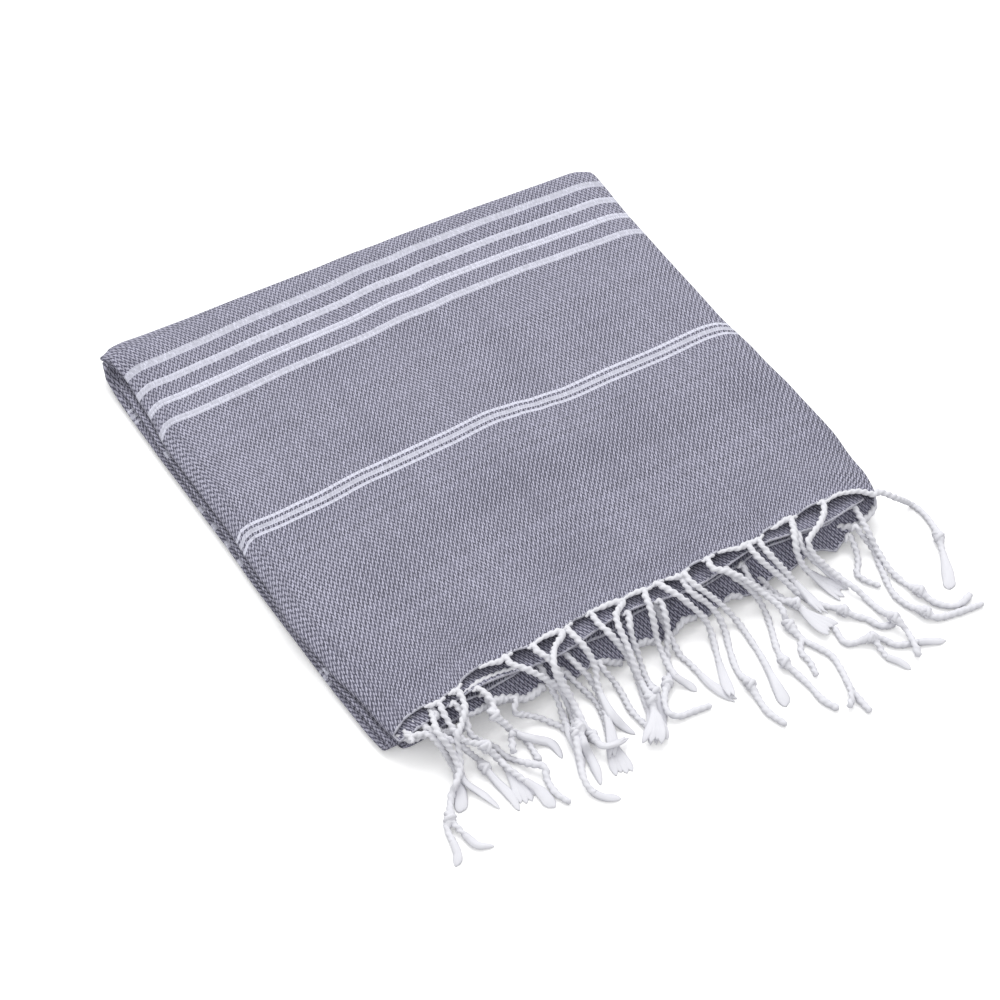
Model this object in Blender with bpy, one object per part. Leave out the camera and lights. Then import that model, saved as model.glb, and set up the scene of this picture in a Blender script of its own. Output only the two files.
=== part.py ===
"""Folded hammam towel: a flat-woven cotton sheet with a twisted and knotted fringe.

The cloth is folded in four across its width and then back and forth in three panels
along its length. It lies on its lowest panel with the fringed end on top, at the front.
X runs along the folded width, Y from the fringe to the back fold, Z up. The origin is
the middle of the flat underside. Sizes are in millimetres, and MM makes them metres.
"""
import itertools
import math
from collections import namedtuple

import bmesh
import bpy
from mathutils import Vector

MM = 0.001

# Folded size and build-up of the layers
FOLDED_WIDTH = 248.0
FOLDED_DEPTH = 250.0
SHEET = 1.0               # thickness of the doubled cloth
LAYER_GAP = 0.4
LAYER_PITCH = SHEET + LAYER_GAP
BAND = 4 * SHEET + 3 * LAYER_GAP      # four layers make one panel
PANEL_PITCH = BAND + LAYER_GAP
WIDTH_TAPER = 0.024       # the back edge is wider than the front edge
DEPTH_TAPER = 0.028       # the left side is deeper than the right side

# Heights of the four layers in a panel, from its middle, top layer first
LAYER_UP = [1.5 * LAYER_PITCH, 0.5 * LAYER_PITCH, -0.5 * LAYER_PITCH, -1.5 * LAYER_PITCH]
PANEL_UP = [BAND / 2 + 2 * PANEL_PITCH, BAND / 2 + PANEL_PITCH, BAND / 2]

# Folds across the width
LOOP_SETBACK = 5.0        # the inner loop stops short of the outer one, which leaves a tube
SELVEDGE_INSET = [2.0, 3.2]           # third and fourth layer, from the left fold

# Cells of the mesh: short ones beside the folds, even ones between them
EDGE_CELLS = [4.0, 10.0, 18.0]
RUN_CELLS = 4
LOOP_CELLS = 6
SMALL_LOOP_CELLS = 4
PANEL_CELLS = [6, 4, 4]
PANEL_BEND_CELLS = 6

# Fringed end: how far each layer's hem stands back from the front fold
HEM_SETBACK = [5.0, 0.5, 2.5, -2.0]
HEM_REACH = 48.0          # the hem's lift fades over this length of cloth
HEM_EDGE_BAND = 30.0      # and it fades towards the two side folds

# Lift of each layer off the one below it, along the hem
HemWave = namedtuple("HemWave", "rest swing length phase")
HEM_WAVES = [
    HemWave(rest=0.9, swing=0.95, length=84.0, phase=-0.5),
    HemWave(rest=0.1, swing=0.45, length=118.0, phase=2.6),
    HemWave(rest=0.0, swing=0.25, length=96.0, phase=1.0),
    HemWave(rest=0.0, swing=0.10, length=130.0, phase=0.0),
]

BACK_LOFT = 1.6           # the back fold is an open tube
BACK_LOFT_BAND = 38.0
END_INSET = 7.0           # the lowest panel ends short of the back fold

# Soft swells of the top panel: centre, half sizes, turn of the long axis, rise
Swell = namedtuple("Swell", "x y long wide turn rise")
SWELLS = [
    Swell(x=-60.0, y=42.0, long=78.0, wide=30.0, turn=24.0, rise=1.1),
    Swell(x=48.0, y=60.0, long=70.0, wide=26.0, turn=-32.0, rise=0.9),
    Swell(x=22.0, y=-30.0, long=88.0, wide=28.0, turn=-46.0, rise=1.2),
    Swell(x=-82.0, y=-48.0, long=60.0, wide=24.0, turn=-58.0, rise=0.8),
]

# Rounded corners of the folded pack, in plan
CORNER_BAND = 8.0
BACK_CORNER_PULL = 1.4
FRONT_CORNER_PULL = 1.0

# Outward bow of the sides: left side of the top panel and of the lowest one, and right side
SideBow = namedtuple("SideBow", "y left_top left_low right")
SIDE_BOWS = [
    SideBow(y=-125.0, left_top=-0.2, left_low=2.7, right=0.0),
    SideBow(y=-105.0, left_top=1.0, left_low=2.9, right=3.0),
    SideBow(y=-80.0, left_top=3.9, left_low=3.4, right=5.2),
    SideBow(y=-50.0, left_top=5.6, left_low=4.2, right=4.6),
    SideBow(y=-25.0, left_top=3.6, left_low=4.8, right=3.2),
    SideBow(y=10.0, left_top=2.0, left_low=3.5, right=0.8),
    SideBow(y=60.0, left_top=1.6, left_low=3.0, right=0.2),
    SideBow(y=85.0, left_top=-1.4, left_low=3.0, right=0.0),
    SideBow(y=103.0, left_top=-3.3, left_low=2.9, right=0.0),
    SideBow(y=125.0, left_top=0.0, left_low=0.8, right=0.0),
]
BOW_REACH = 70.0          # the sides bow out over this width, beside each fold

# The top panel stands up at its back left corner, over the open end of the back fold
CORNER_LOFT = 2.6
CORNER_LOFT_ACROSS = 46.0
CORNER_LOFT_ALONG = 30.0

# Fringe: a narrow heading, parted from the cloth's edge, and its twisted strands
EDGE_GAP = 0.3
HEADING_DEPTH = 1.6
STRAND_COUNT = 40
STRAND_SPAN = 228.0
STRAND_WIDTH = 2.7
STRAND_HEIGHT = 2.6
ROOT_WIDTH = 2.6
KNOT_WIDTH = 4.4
KNOT_HEIGHT = 4.0
KNOT_LENGTH = 2.6
TAIL_WIDTH = 3.6
TAIL_HEIGHT = 1.8
STRAND_LAYERS = [0, 1, 3]             # top, second and lowest layer, in turn
ROOT_NECK = 1.2
DROP_START = 6.5          # strands fall once past every hem
DROP_LENGTH = 16.0
DRIFT_LENGTH = 75.0       # sideways drift is full this far in front of the front fold
MEANDER = 3.0             # strands wander sideways together
MEANDER_LENGTH = 56.0
MEANDER_SHIFT = 170.0
KNOT_AT = [0.44, 0.62, 0.52]          # parts of a strand's run on the floor
SHORTER_BY = [0.0, 11.0, 5.0, 15.0, 2.0]      # neighbours end at different lengths

# Sideways drift of the tips and their reach in front of the front fold, along the hem
FringeRow = namedtuple("FringeRow", "x drift reach")
FRINGE_ROWS = [
    FringeRow(x=-118.0, drift=-11.0, reach=61.0),
    FringeRow(x=-96.0, drift=-6.0, reach=54.0),
    FringeRow(x=-60.0, drift=3.0, reach=63.0),
    FringeRow(x=-20.0, drift=2.0, reach=55.0),
    FringeRow(x=10.0, drift=9.0, reach=60.0),
    FringeRow(x=40.0, drift=12.0, reach=80.0),
    FringeRow(x=80.0, drift=9.0, reach=76.0),
    FringeRow(x=104.0, drift=10.0, reach=68.0),
    FringeRow(x=118.0, drift=14.0, reach=60.0),
]

Station = namedtuple("Station", "across up turn_across turn_up weights")


def smooth(value):
    """Ease from 0 to 1 while value goes from 0 to 1."""
    value = min(max(value, 0.0), 1.0)
    return value * value * (3.0 - 2.0 * value)


def one_hot(size, index):
    """Weights that pick one layer or panel."""
    return [1.0 if i == index else 0.0 for i in range(size)]


def run(start, end, up, weights, cells):
    """Stations of a straight stretch at one height."""
    way = 1.0 if end > start else -1.0
    length = abs(end - start)
    first = EDGE_CELLS[-1]
    step = (length - 2 * first) / cells
    places = [0.0] + EDGE_CELLS[:-1] + [first + step * i for i in range(cells + 1)]
    places += [length - place for place in reversed(EDGE_CELLS[:-1])] + [length]
    return [Station(start + way * place, up, way, 0.0, weights) for place in places]


def bend(centre, up, radius, first_angle, sweep, before, after, cells):
    """Stations inside a round fold, without its two ends."""
    stations = []
    way = 1.0 if sweep > 0 else -1.0
    for i in range(1, cells):
        angle = math.radians(first_angle + sweep * i / cells)
        part = smooth(i / cells)
        weights = [a * (1.0 - part) + b * part for a, b in zip(before, after)]
        stations.append(Station(
            centre + radius * math.cos(angle),
            up + radius * math.sin(angle),
            -math.sin(angle) * way,
            math.cos(angle) * way,
            weights,
        ))
    return stations


def width_runs():
    """Ends of the four straight layers across the width, in the order the cloth takes."""
    half = FOLDED_WIDTH / 2
    outer = half - LAYER_UP[0] - SHEET / 2
    inner = outer - LOOP_SETBACK
    left = -half + LAYER_PITCH / 2 + SHEET / 2
    return [
        (3, -half + SELVEDGE_INSET[1], outer),
        (0, outer, left),
        (1, left, inner),
        (2, inner, -half + SELVEDGE_INSET[0]),
    ]


def width_stations():
    """The fold in four: lowest layer, big loop, top layer, second layer, loop, third layer."""
    layers = [one_hot(4, i) for i in range(4)]
    runs = width_runs()
    loops = [
        bend(runs[0][2], 0.0, LAYER_UP[0], -90, 180, layers[3], layers[0], LOOP_CELLS),
        bend(runs[1][2], LAYER_PITCH, LAYER_PITCH / 2, 90, 180, layers[0], layers[1],
             SMALL_LOOP_CELLS),
        bend(runs[2][2], 0.0, LAYER_PITCH / 2, 90, -180, layers[1], layers[2],
             SMALL_LOOP_CELLS),
        [],
    ]
    stations = []
    for (layer, start, end), loop in zip(runs, loops):
        stations += run(start, end, LAYER_UP[layer], layers[layer], RUN_CELLS)
        stations += loop
    return stations


def length_stations():
    """The back-and-forth fold: top panel, back fold, middle panel, front fold, low panel."""
    panels = [one_hot(3, i) for i in range(3)]
    outer = PANEL_PITCH / 2 + BAND / 2
    front = -FOLDED_DEPTH / 2 + outer
    back = FOLDED_DEPTH / 2 - outer
    hem = -FOLDED_DEPTH / 2
    end = FOLDED_DEPTH / 2 - END_INSET
    back_up = (PANEL_UP[0] + PANEL_UP[1]) / 2
    front_up = (PANEL_UP[1] + PANEL_UP[2]) / 2
    stations = run(hem, back, PANEL_UP[0], panels[0], PANEL_CELLS[0])
    stations += bend(back, back_up, PANEL_PITCH / 2, 90, -180, panels[0], panels[1],
                     PANEL_BEND_CELLS)
    stations += run(back, front, PANEL_UP[1], panels[1], PANEL_CELLS[1])
    stations += bend(front, front_up, PANEL_PITCH / 2, 90, 180, panels[1], panels[2],
                     PANEL_BEND_CELLS)
    stations += run(front, end, PANEL_UP[2], panels[2], PANEL_CELLS[2])
    return stations


def swell_rise(x, y):
    """Height of the soft swells over a place on the top panel."""
    rise = 0.0
    for swell in SWELLS:
        turn = math.radians(swell.turn)
        along = (x - swell.x) * math.cos(turn) + (y - swell.y) * math.sin(turn)
        aside = (y - swell.y) * math.cos(turn) - (x - swell.x) * math.sin(turn)
        rise += swell.rise * math.exp(-(along / swell.long) ** 2 - (aside / swell.wide) ** 2)
    return rise


def hem_rise(x, layer_weights):
    """Height that a layer's hem stands off its folded place."""
    side = smooth((abs(x) - (FOLDED_WIDTH / 2 - HEM_EDGE_BAND)) / HEM_EDGE_BAND)
    fade = 1.0 - 0.75 * side
    total = 0.0
    rise = 0.0
    for layer in (3, 2, 1, 0):
        wave = HEM_WAVES[layer]
        turn = 2.0 * math.pi * x / wave.length + wave.phase
        total += wave.rest + wave.swing * (1.0 + math.sin(turn))
        rise += layer_weights[layer] * total * fade
    return rise


def hem_setback(layer_weights):
    """Distance from the front fold back to a layer's hem."""
    return sum(weight * HEM_SETBACK[i] for i, weight in enumerate(layer_weights))


def table_value(rows, first, place, column):
    """A column of a short table at a place along its first column."""
    for low, high in zip(rows, rows[1:]):
        if place <= getattr(high, first):
            break
    span = getattr(high, first) - getattr(low, first)
    part = min(max((place - getattr(low, first)) / span, 0.0), 1.0)
    return getattr(low, column) * (1.0 - part) + getattr(high, column) * part


def bow_out(x, y, panel_weights):
    """Sideways shift that bows the sides of each panel out."""
    side = smooth((abs(x) - FOLDED_WIDTH / 2 + BOW_REACH) / BOW_REACH)
    if x > 0.0:
        return side * table_value(SIDE_BOWS, "y", y, "right")
    top, middle, low = panel_weights
    on_top = table_value(SIDE_BOWS, "y", y, "left_top")
    on_lowest = table_value(SIDE_BOWS, "y", y, "left_low")
    return -side * ((top + middle / 2) * on_top + (low + middle / 2) * on_lowest)


def loft_rise(x, y):
    """Height that the top panel stands up at its back left corner."""
    across = smooth((-x - FOLDED_WIDTH / 2 + CORNER_LOFT_ACROSS) / CORNER_LOFT_ACROSS)
    along = smooth((y - FOLDED_DEPTH / 2 + CORNER_LOFT_ALONG) / CORNER_LOFT_ALONG)
    return CORNER_LOFT * across * along


def in_plan(x, y):
    """The pack's plan shape: tapered, with rounded corners."""
    half_width = FOLDED_WIDTH / 2
    half_depth = FOLDED_DEPTH / 2
    beside = smooth((abs(x) - half_width + CORNER_BAND) / CORNER_BAND)
    behind = smooth((y - half_depth + CORNER_BAND) / CORNER_BAND)
    before = smooth((-y - half_depth + CORNER_BAND) / CORNER_BAND)
    pull = beside * (BACK_CORNER_PULL * behind + FRONT_CORNER_PULL * before)
    way = math.copysign(1.0, x)
    plan_x = (x - way * pull) * (1.0 + WIDTH_TAPER * y / half_depth)
    plan_y = (y - math.copysign(pull, y)) * (1.0 - DEPTH_TAPER * x / half_width)
    return plan_x, plan_y


def folded_place(column, row, side, ahead=0.0):
    """Where a point of the sheet lies: column of the width fold, row of the length fold.

    side is 1 on the left-hand face of the width fold's travel and -1 on the other.
    ahead moves the place out of the hem, forwards.
    """
    x = column.across - side * column.turn_up * SHEET / 2
    offset = column.up + side * column.turn_across * SHEET / 2
    y = row.across - offset * row.turn_up
    z = row.up + offset * row.turn_across
    top, middle, _ = row.weights
    half_depth = FOLDED_DEPTH / 2
    from_hem = y + half_depth
    near_hem = top * smooth(1.0 - from_hem / HEM_REACH)
    near_back = top * smooth((y - half_depth + BACK_LOFT_BAND) / BACK_LOFT_BAND * 1.4)
    y += near_hem * hem_setback(column.weights) - ahead
    z += near_hem * hem_rise(x, column.weights)
    z += near_back * BACK_LOFT
    z += (top + 0.5 * middle) * swell_rise(x, y) + top * loft_rise(x, y)
    plan_x, plan_y = in_plan(x, y)
    return Vector((plan_x + bow_out(x, y, row.weights), plan_y, z)) * MM


def sheet_end(columns):
    """A bmesh of the sheet's end: one row of faces, with its column and side on each point."""
    shape = bmesh.new()
    cells = len(columns) - 1
    bmesh.ops.create_grid(shape, x_segments=cells, y_segments=1, size=0.5)
    column_of = shape.verts.layers.int.new("column")
    side_of = shape.verts.layers.int.new("side")
    row_of = shape.verts.layers.int.new("row")
    for vert in shape.verts:
        vert[column_of] = round((vert.co.x + 0.5) * cells)
        vert[side_of] = 1 if vert.co.y > 0 else -1
        vert[row_of] = 0
    return shape


def grow(shape, faces, row, first=False):
    """Extrude faces by one row and number the new points. Only the first faces stay."""
    row_of = shape.verts.layers.int["row"]
    grown = bmesh.ops.extrude_face_region(shape, geom=faces)["geom"]
    if not first:
        bmesh.ops.delete(shape, geom=faces, context="FACES")
    for item in grown:
        if isinstance(item, bmesh.types.BMVert):
            item[row_of] = row
    return [item for item in grown if isinstance(item, bmesh.types.BMFace)]


def finished_object(name, shape, material):
    """An object of its own for a closed bmesh."""
    bmesh.ops.recalc_face_normals(shape, faces=shape.faces)
    mesh = bpy.data.meshes.new(name)
    shape.to_mesh(mesh)
    shape.free()
    mesh.materials.append(material)
    mesh.shade_smooth()
    mesh.set_sharp_from_angle(angle=math.radians(50))
    piece = bpy.data.objects.new(name, mesh)
    bpy.context.scene.collection.objects.link(piece)
    return piece


def cotton(name, colour, roughness):
    """A plain cotton material."""
    material = bpy.data.materials.new(name)
    material.use_nodes = True
    shader = material.node_tree.nodes["Principled BSDF"]
    shader.inputs["Base Color"].default_value = (*colour, 1.0)
    shader.inputs["Roughness"].default_value = roughness
    shader.inputs["Metallic"].default_value = 0.0
    return material


def make_cloth(material):
    """The cloth: its end section drawn along the back-and-forth fold."""
    columns = width_stations()
    rows = length_stations()
    shape = sheet_end(columns)
    faces = list(shape.faces)
    for row in range(1, len(rows)):
        faces = grow(shape, faces, row, first=row == 1)
    column_of = shape.verts.layers.int["column"]
    side_of = shape.verts.layers.int["side"]
    row_of = shape.verts.layers.int["row"]
    for vert in shape.verts:
        vert.co = folded_place(columns[vert[column_of]], rows[vert[row_of]], vert[side_of])
    return finished_object("towel_cloth", shape, material)


def strand_roots():
    """Place along X and layer of each strand, left to right."""
    pitch = STRAND_SPAN / (STRAND_COUNT - 1)
    return [
        (-STRAND_SPAN / 2 + pitch * i, STRAND_LAYERS[i % len(STRAND_LAYERS)])
        for i in range(STRAND_COUNT)
    ]


def heading_stations(roots):
    """The hem's own fold, with two stations of its own for each strand's root."""
    stations = []
    for weights, group in itertools.groupby(width_stations(), key=lambda item: item.weights):
        straight = list(group)
        if max(weights) == 1.0:
            layer = weights.index(1.0)
            straight = with_roots(straight, [x for x, root in roots if root == layer])
        stations += straight
    return stations


def with_roots(straight, places):
    """A straight layer's stations, with a pair for each root and none close beside it."""
    clear = ROOT_WIDTH / 2 + 0.6
    way = straight[0].turn_across
    kept = [item for item in straight if all(abs(item.across - x) > clear for x in places)]
    for x in places:
        kept.append(straight[0]._replace(across=x - ROOT_WIDTH / 2))
        kept.append(straight[0]._replace(across=x + ROOT_WIDTH / 2))
    return sorted(kept, key=lambda item: way * item.across)


def strand_route(index, root_x, start):
    """Centre line and sizes of a strand, from its root to its tip on the floor."""
    reach = table_value(FRINGE_ROWS, "x", root_x, "reach") - SHORTER_BY[index % len(SHORTER_BY)]
    drift = table_value(FRINGE_ROWS, "x", root_x, "drift")
    front = in_plan(root_x, -FOLDED_DEPTH / 2)[1]
    drop = front - DROP_START
    tip = front - reach
    floor_start = drop - DROP_LENGTH
    knot = floor_start + (tip - floor_start) * KNOT_AT[index % len(KNOT_AT)]
    height = start.z / MM + (STRAND_HEIGHT - SHEET) / 2
    rings = [(start.y / MM - ROOT_NECK, height, STRAND_WIDTH, STRAND_HEIGHT)]
    for part in (0.0, 0.3, 0.65, 1.0):
        rest = STRAND_HEIGHT / 2
        up = rest + (height - rest) * (1.0 - smooth(part))
        rings.append((drop - DROP_LENGTH * part, up, STRAND_WIDTH, STRAND_HEIGHT))
    rings += [
        (knot + KNOT_LENGTH, STRAND_HEIGHT / 2, STRAND_WIDTH, STRAND_HEIGHT),
        (knot, KNOT_HEIGHT / 2, KNOT_WIDTH, KNOT_HEIGHT),
        (knot - KNOT_LENGTH, STRAND_HEIGHT / 2, STRAND_WIDTH, STRAND_HEIGHT),
        ((knot + tip) / 2, TAIL_HEIGHT / 2, TAIL_WIDTH, TAIL_HEIGHT),
        (tip, TAIL_HEIGHT / 2, STRAND_WIDTH, TAIL_HEIGHT),
    ]
    route = []
    for y, up, width, height in rings:
        part = max(front - y, 0.0) / DRIFT_LENGTH
        sway = math.sin(2.0 * math.pi * ((front - y) / MEANDER_LENGTH + root_x / MEANDER_SHIFT))
        x = start.x / MM + drift * part ** 1.6 + MEANDER * sway * smooth(2.0 * part)
        route.append((Vector((x, y, up)) * MM, width * MM, height * MM))
    return route


def draw_strand(shape, face, first_column, layer, route):
    """Extrude one face of the heading along a strand's route."""
    column_of = shape.verts.layers.int["column"]
    side_of = shape.verts.layers.int["side"]
    heading = 1 if layer in (1, 3) else -1
    centres = [ring[0] for ring in route]
    faces = [face]
    for i, (centre, width, height) in enumerate(route):
        before = centres[max(i - 1, 0)]
        after = centres[min(i + 1, len(route) - 1)]
        along = (after - before).normalized()
        aside = Vector((0, 0, 1)).cross(along).normalized()
        up = along.cross(aside)
        if i > 3:
            up = Vector((0, 0, 1))
        faces = grow(shape, faces, 2)
        for vert in faces[0].verts:
            right = heading if vert[column_of] > first_column else -heading
            above = heading * vert[side_of]
            vert.co = centre + aside * (right * width / 2) + up * (above * height / 2)


def make_fringe(material):
    """The fringe: a heading along the hem, and strands that fall from it to the floor."""
    roots = strand_roots()
    columns = heading_stations(roots)
    row = length_stations()[0]
    shape = sheet_end(columns)
    faces = grow(shape, list(shape.faces), 1, first=True)
    column_of = shape.verts.layers.int["column"]
    side_of = shape.verts.layers.int["side"]
    row_of = shape.verts.layers.int["row"]
    for vert in shape.verts:
        ahead = EDGE_GAP + HEADING_DEPTH * vert[row_of]
        vert.co = folded_place(columns[vert[column_of]], row, vert[side_of], ahead)
    by_column = {min(vert[column_of] for vert in face.verts): face for face in faces}
    for index, (root_x, layer) in enumerate(roots):
        first = root_column(columns, root_x, layer)
        start = by_column[first].calc_center_median()
        route = strand_route(index, root_x, start)
        draw_strand(shape, by_column[first], first, layer, route)
    return finished_object("towel_fringe", shape, material)


def root_column(columns, root_x, layer):
    """The heading's column that a strand grows from."""
    for i in range(len(columns) - 1):
        here, after = columns[i], columns[i + 1]
        if here.weights[layer] == 1.0 and after.weights[layer] == 1.0:
            if abs((here.across + after.across) / 2 - root_x) < 0.01:
                return i
    raise ValueError("no heading column for the strand at %.1f" % root_x)


def main():
    for old in list(bpy.data.objects):
        bpy.data.objects.remove(old, do_unlink=True)
    make_cloth(cotton("blue_grey_cotton", (0.300, 0.300, 0.386), 0.9))
    make_fringe(cotton("white_cotton_yarn", (0.80, 0.80, 0.84), 0.85))


main()
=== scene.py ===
import math

import bmesh
import bpy
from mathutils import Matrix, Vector, noise


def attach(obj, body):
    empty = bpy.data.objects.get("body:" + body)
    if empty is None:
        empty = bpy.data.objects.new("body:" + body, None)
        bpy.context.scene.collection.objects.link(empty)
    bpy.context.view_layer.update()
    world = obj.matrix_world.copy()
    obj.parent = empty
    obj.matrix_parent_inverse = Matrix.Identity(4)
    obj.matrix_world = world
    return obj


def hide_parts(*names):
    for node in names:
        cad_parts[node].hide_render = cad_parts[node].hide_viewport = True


# folded hammam towel: the woven cloth and its knotted fringe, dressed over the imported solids
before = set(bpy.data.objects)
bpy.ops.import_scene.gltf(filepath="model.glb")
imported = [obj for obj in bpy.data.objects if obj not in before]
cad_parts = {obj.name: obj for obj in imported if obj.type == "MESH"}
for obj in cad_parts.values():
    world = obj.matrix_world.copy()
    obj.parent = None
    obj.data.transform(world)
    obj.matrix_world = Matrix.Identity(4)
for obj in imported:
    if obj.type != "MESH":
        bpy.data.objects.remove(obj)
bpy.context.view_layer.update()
mm = 0.001
print("frame loaded:", sorted(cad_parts))


def ease(value):
    value = min(max(value, 0.0), 1.0)
    return value * value * (3.0 - 2.0 * value)


def lerp(start, end, part):
    return start + (end - start) * part


# the photo's camera: it stands at the front left and looks down on the towel
view = {
    "azimuth": -31.0,
    "elevation": 47.8,
    "distance": 1290.0,  # mm
    "target": (-17.1, -36.6, 10.0),
    "focalPixels": 3000.0,
    "photoSize": 1000.0,
    "sensor": 36.0,
}


def viewAxes():
    azimuth = math.radians(view["azimuth"])
    elevation = math.radians(view["elevation"])
    back = Vector((
        math.sin(azimuth) * math.cos(elevation),
        -math.cos(azimuth) * math.cos(elevation),
        math.sin(elevation),
    ))
    right = Vector((math.cos(azimuth), math.sin(azimuth), 0.0))
    return right, back.cross(right), back


viewRight, viewUp, viewBack = viewAxes()
viewPlace = Vector(view["target"]) + viewBack * view["distance"]


def photoPlace(pixel, height):
    # where the line of sight through a photo pixel meets a height above the floor, in mm
    middle = view["photoSize"] / 2
    across = (pixel[0] - middle) / view["focalPixels"]
    down = (pixel[1] - middle) / view["focalPixels"]
    sight = viewRight * across - viewUp * down - viewBack
    return viewPlace + sight * ((height - viewPlace.z) / sight.z)


def photoPixel(place):
    # the photo pixel of a place in mm
    away = place - viewPlace
    scale = view["focalPixels"] / away.dot(-viewBack)
    middle = view["photoSize"] / 2
    return Vector((middle + away.dot(viewRight) * scale, middle - away.dot(viewUp) * scale))


def makeCamera():
    data = bpy.data.cameras.new("photoCamera")
    data.lens = view["focalPixels"] * view["sensor"] / view["photoSize"]
    data.sensor_width = view["sensor"]
    data.clip_end = 20.0
    camera = bpy.data.objects.new("photoCamera", data)
    camera.location = viewPlace * mm
    camera.rotation_euler = viewBack.to_track_quat("Z", "Y").to_euler()
    bpy.context.scene.collection.objects.link(camera)
    bpy.context.scene.camera = camera


makeCamera()
print("camera placed")


# The cloth: folded in four across its width, then back and forth in three panels.
# Sizes in mm, as in the solids. A layer is counted from the top of its panel.
cloth = {
    "width": 248.0,
    "depth": 250.0,
    "sheet": 1.0,
    "thickness": 0.85,
    "layerPitch": 1.4,
    "panelPitch": 5.6,
    "widthTaper": 0.024,
    "depthTaper": 0.028,
    "loopSetback": 5.0,
    "selvedgeInset": (2.0, 3.2),
    "endInset": 7.0,
    "topCell": 2.9,         # cells of the mesh along the parts that show, and along the others
    "hiddenCell": 6.2,
    "hemCells": (0.6, 1.4, 2.4, 3.6, 5.0, 6.6, 8.4),
    "hemSetback": (5.0, 0.5, 2.5, -2.0),
    "hemReach": 48.0,
    "hemEdgeBand": 30.0,
    "backLoft": 1.6,
    "backLoftBand": 38.0,
    "cornerBand": 8.0,
    "backCornerPull": 1.4,
    "frontCornerPull": 1.0,
    "bowReach": 70.0,       # the sides bow out over this width, beside each fold
    "leftDroop": 0.14,      # share of the height lost over the left fold
    "leftDroopBand": 15.0,
    "rightDroop": 0.12,
    "rightDroopBand": 12.0,
    "droopFrom": 2.0,       # and only above this height
    "crown": 0.9,
    "hemEdgeLoss": 0.75,    # share of the hem's lift that is lost at the side folds
    "hemNarrowing": 0.9765,  # width of the pack at its hem, as a share of the width half way
    "backLoftSlope": 1.4,
    "swellBelow": 0.5,      # share of the top panel's swells that show in the middle one
    "creaseLoss": 0.3,      # share of a crease that the layers under the top one lack
    "skewCentre": 120.0,    # the folds' skew to the weft turns about this distance from the hem
}
foldCells = {"bigLoop": 10, "smallLoop": 6, "backFold": 14, "frontFold": 12}
band = 4 * cloth["sheet"] + 3 * (cloth["layerPitch"] - cloth["sheet"])
layerUp = [cloth["layerPitch"] * (1.5 - layer) for layer in range(4)]
panelUp = [band / 2 + cloth["panelPitch"] * (2 - panel) for panel in range(3)]
halfWidth = cloth["width"] / 2
halfDepth = cloth["depth"] / 2

# how far the sides bow out: place along, left side of the top panel, of the lowest one, right side
sideBow = [
    (-125, -0.2, 3.6, 0.0), (-105, 1.0, 4.6, 3.0), (-80, 3.9, 5.0, 5.2), (-50, 5.6, 4.9, 4.6),
    (-25, 3.6, 4.8, 3.2), (10, 2.0, 3.9, 0.8), (60, 1.6, 3.7, 0.2), (85, -1.4, 3.3, 0.0),
    (103, -2.5, 2.9, 0.0), (116, -1.0, 2.3, 0.0), (124, 4.4, 1.0, 0.0),
]

# the back fold is hollow at the back left corner: the middle panel and the layers inside the fold
# stand back there
cornerHollow = {"depth": 5.0, "from": 108.0, "over": 9.0, "tuck": 8.0, "across": 40.0,
                "along": 30.0}

# the lowest panel's back left corner reaches back and up under that hollow
lowCorner = {"reach": 10.5, "rise": 5.0, "across": 40.0, "along": 26.0, "riseAcross": 14.0}

# the top panel stands up at its back left corner, over the open end of the back fold. Its
# inner layers lack a share of that
cornerLoft = {"rise": 1.2, "across": 46.0, "along": 30.0, "innerLoss": 0.7}

# how far each layer's hem lifts off the one below: rest, swing, length and phase of its wave.
# sway is how far the same wave moves the hem's edge back
hemWaves = [
    {"rest": 0.9, "swing": 0.95, "length": 84.0, "phase": -0.5, "sway": 0.0},
    {"rest": 0.2, "swing": 0.80, "length": 71.0, "phase": 2.6, "sway": 1.7},
    {"rest": 0.0, "swing": 0.45, "length": 58.0, "phase": 1.0, "sway": 1.3},
    {"rest": 0.0, "swing": 0.15, "length": 90.0, "phase": 0.0, "sway": 0.6},
]

# the hem of the top panel's lowest layer droops over the front fold: place across and drop
hemDroop = [(-124, 0.0), (-84, 1.6), (-60, 5.4), (-30, 6.8), (-10, 8.6), (12, 8.8), (34, 8.4),
            (60, 8.5), (80, 5.8), (96, 8.2), (110, 5.0), (124, 1.2)]

# how far from the hem that starts, each layer's share of it, how far the cloth moves forward, the
# wave along the hem, and how much longer the cloth is there
hemDroopShape = {"reach": 9.5, "shares": (0.0, 0.0, 0.2, 1.0), "forward": 0.65, "wave": 0.225,
                 "waveLength": 23.0, "slack": 0.9}

# photo pixels where the top hem is gathered into a strand; it arches back between them
gatherPixels = [
    (397, 728), (412, 713), (437, 703), (456, 690), (470, 673), (499, 661), (529, 648),
    (563, 630), (584, 617), (601, 607), (620, 601), (647, 589), (679, 577), (704, 560),
    (739, 548), (757, 541), (774, 527), (797, 516), (826, 501), (848, 492), (872, 493),
]

# how deep and high those arches are, as shares of their width, and how far from the hem they reach
hemArch = {"depth": 0.06, "most": 1.6, "lift": 0.05, "mostLift": 1.2, "reach": 12.0,
           "lineReach": 42.0}

# the left side: how far the fold of each panel's outer layers hangs down, from the top panel to
# the lowest, and how far the layers with the selvedges stand back from it
leftFold = {"hang": (-3.3, 1.2, -0.8), "hangBand": 7.0, "tuck": 5.5, "tuckBand": 13.0}

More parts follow.
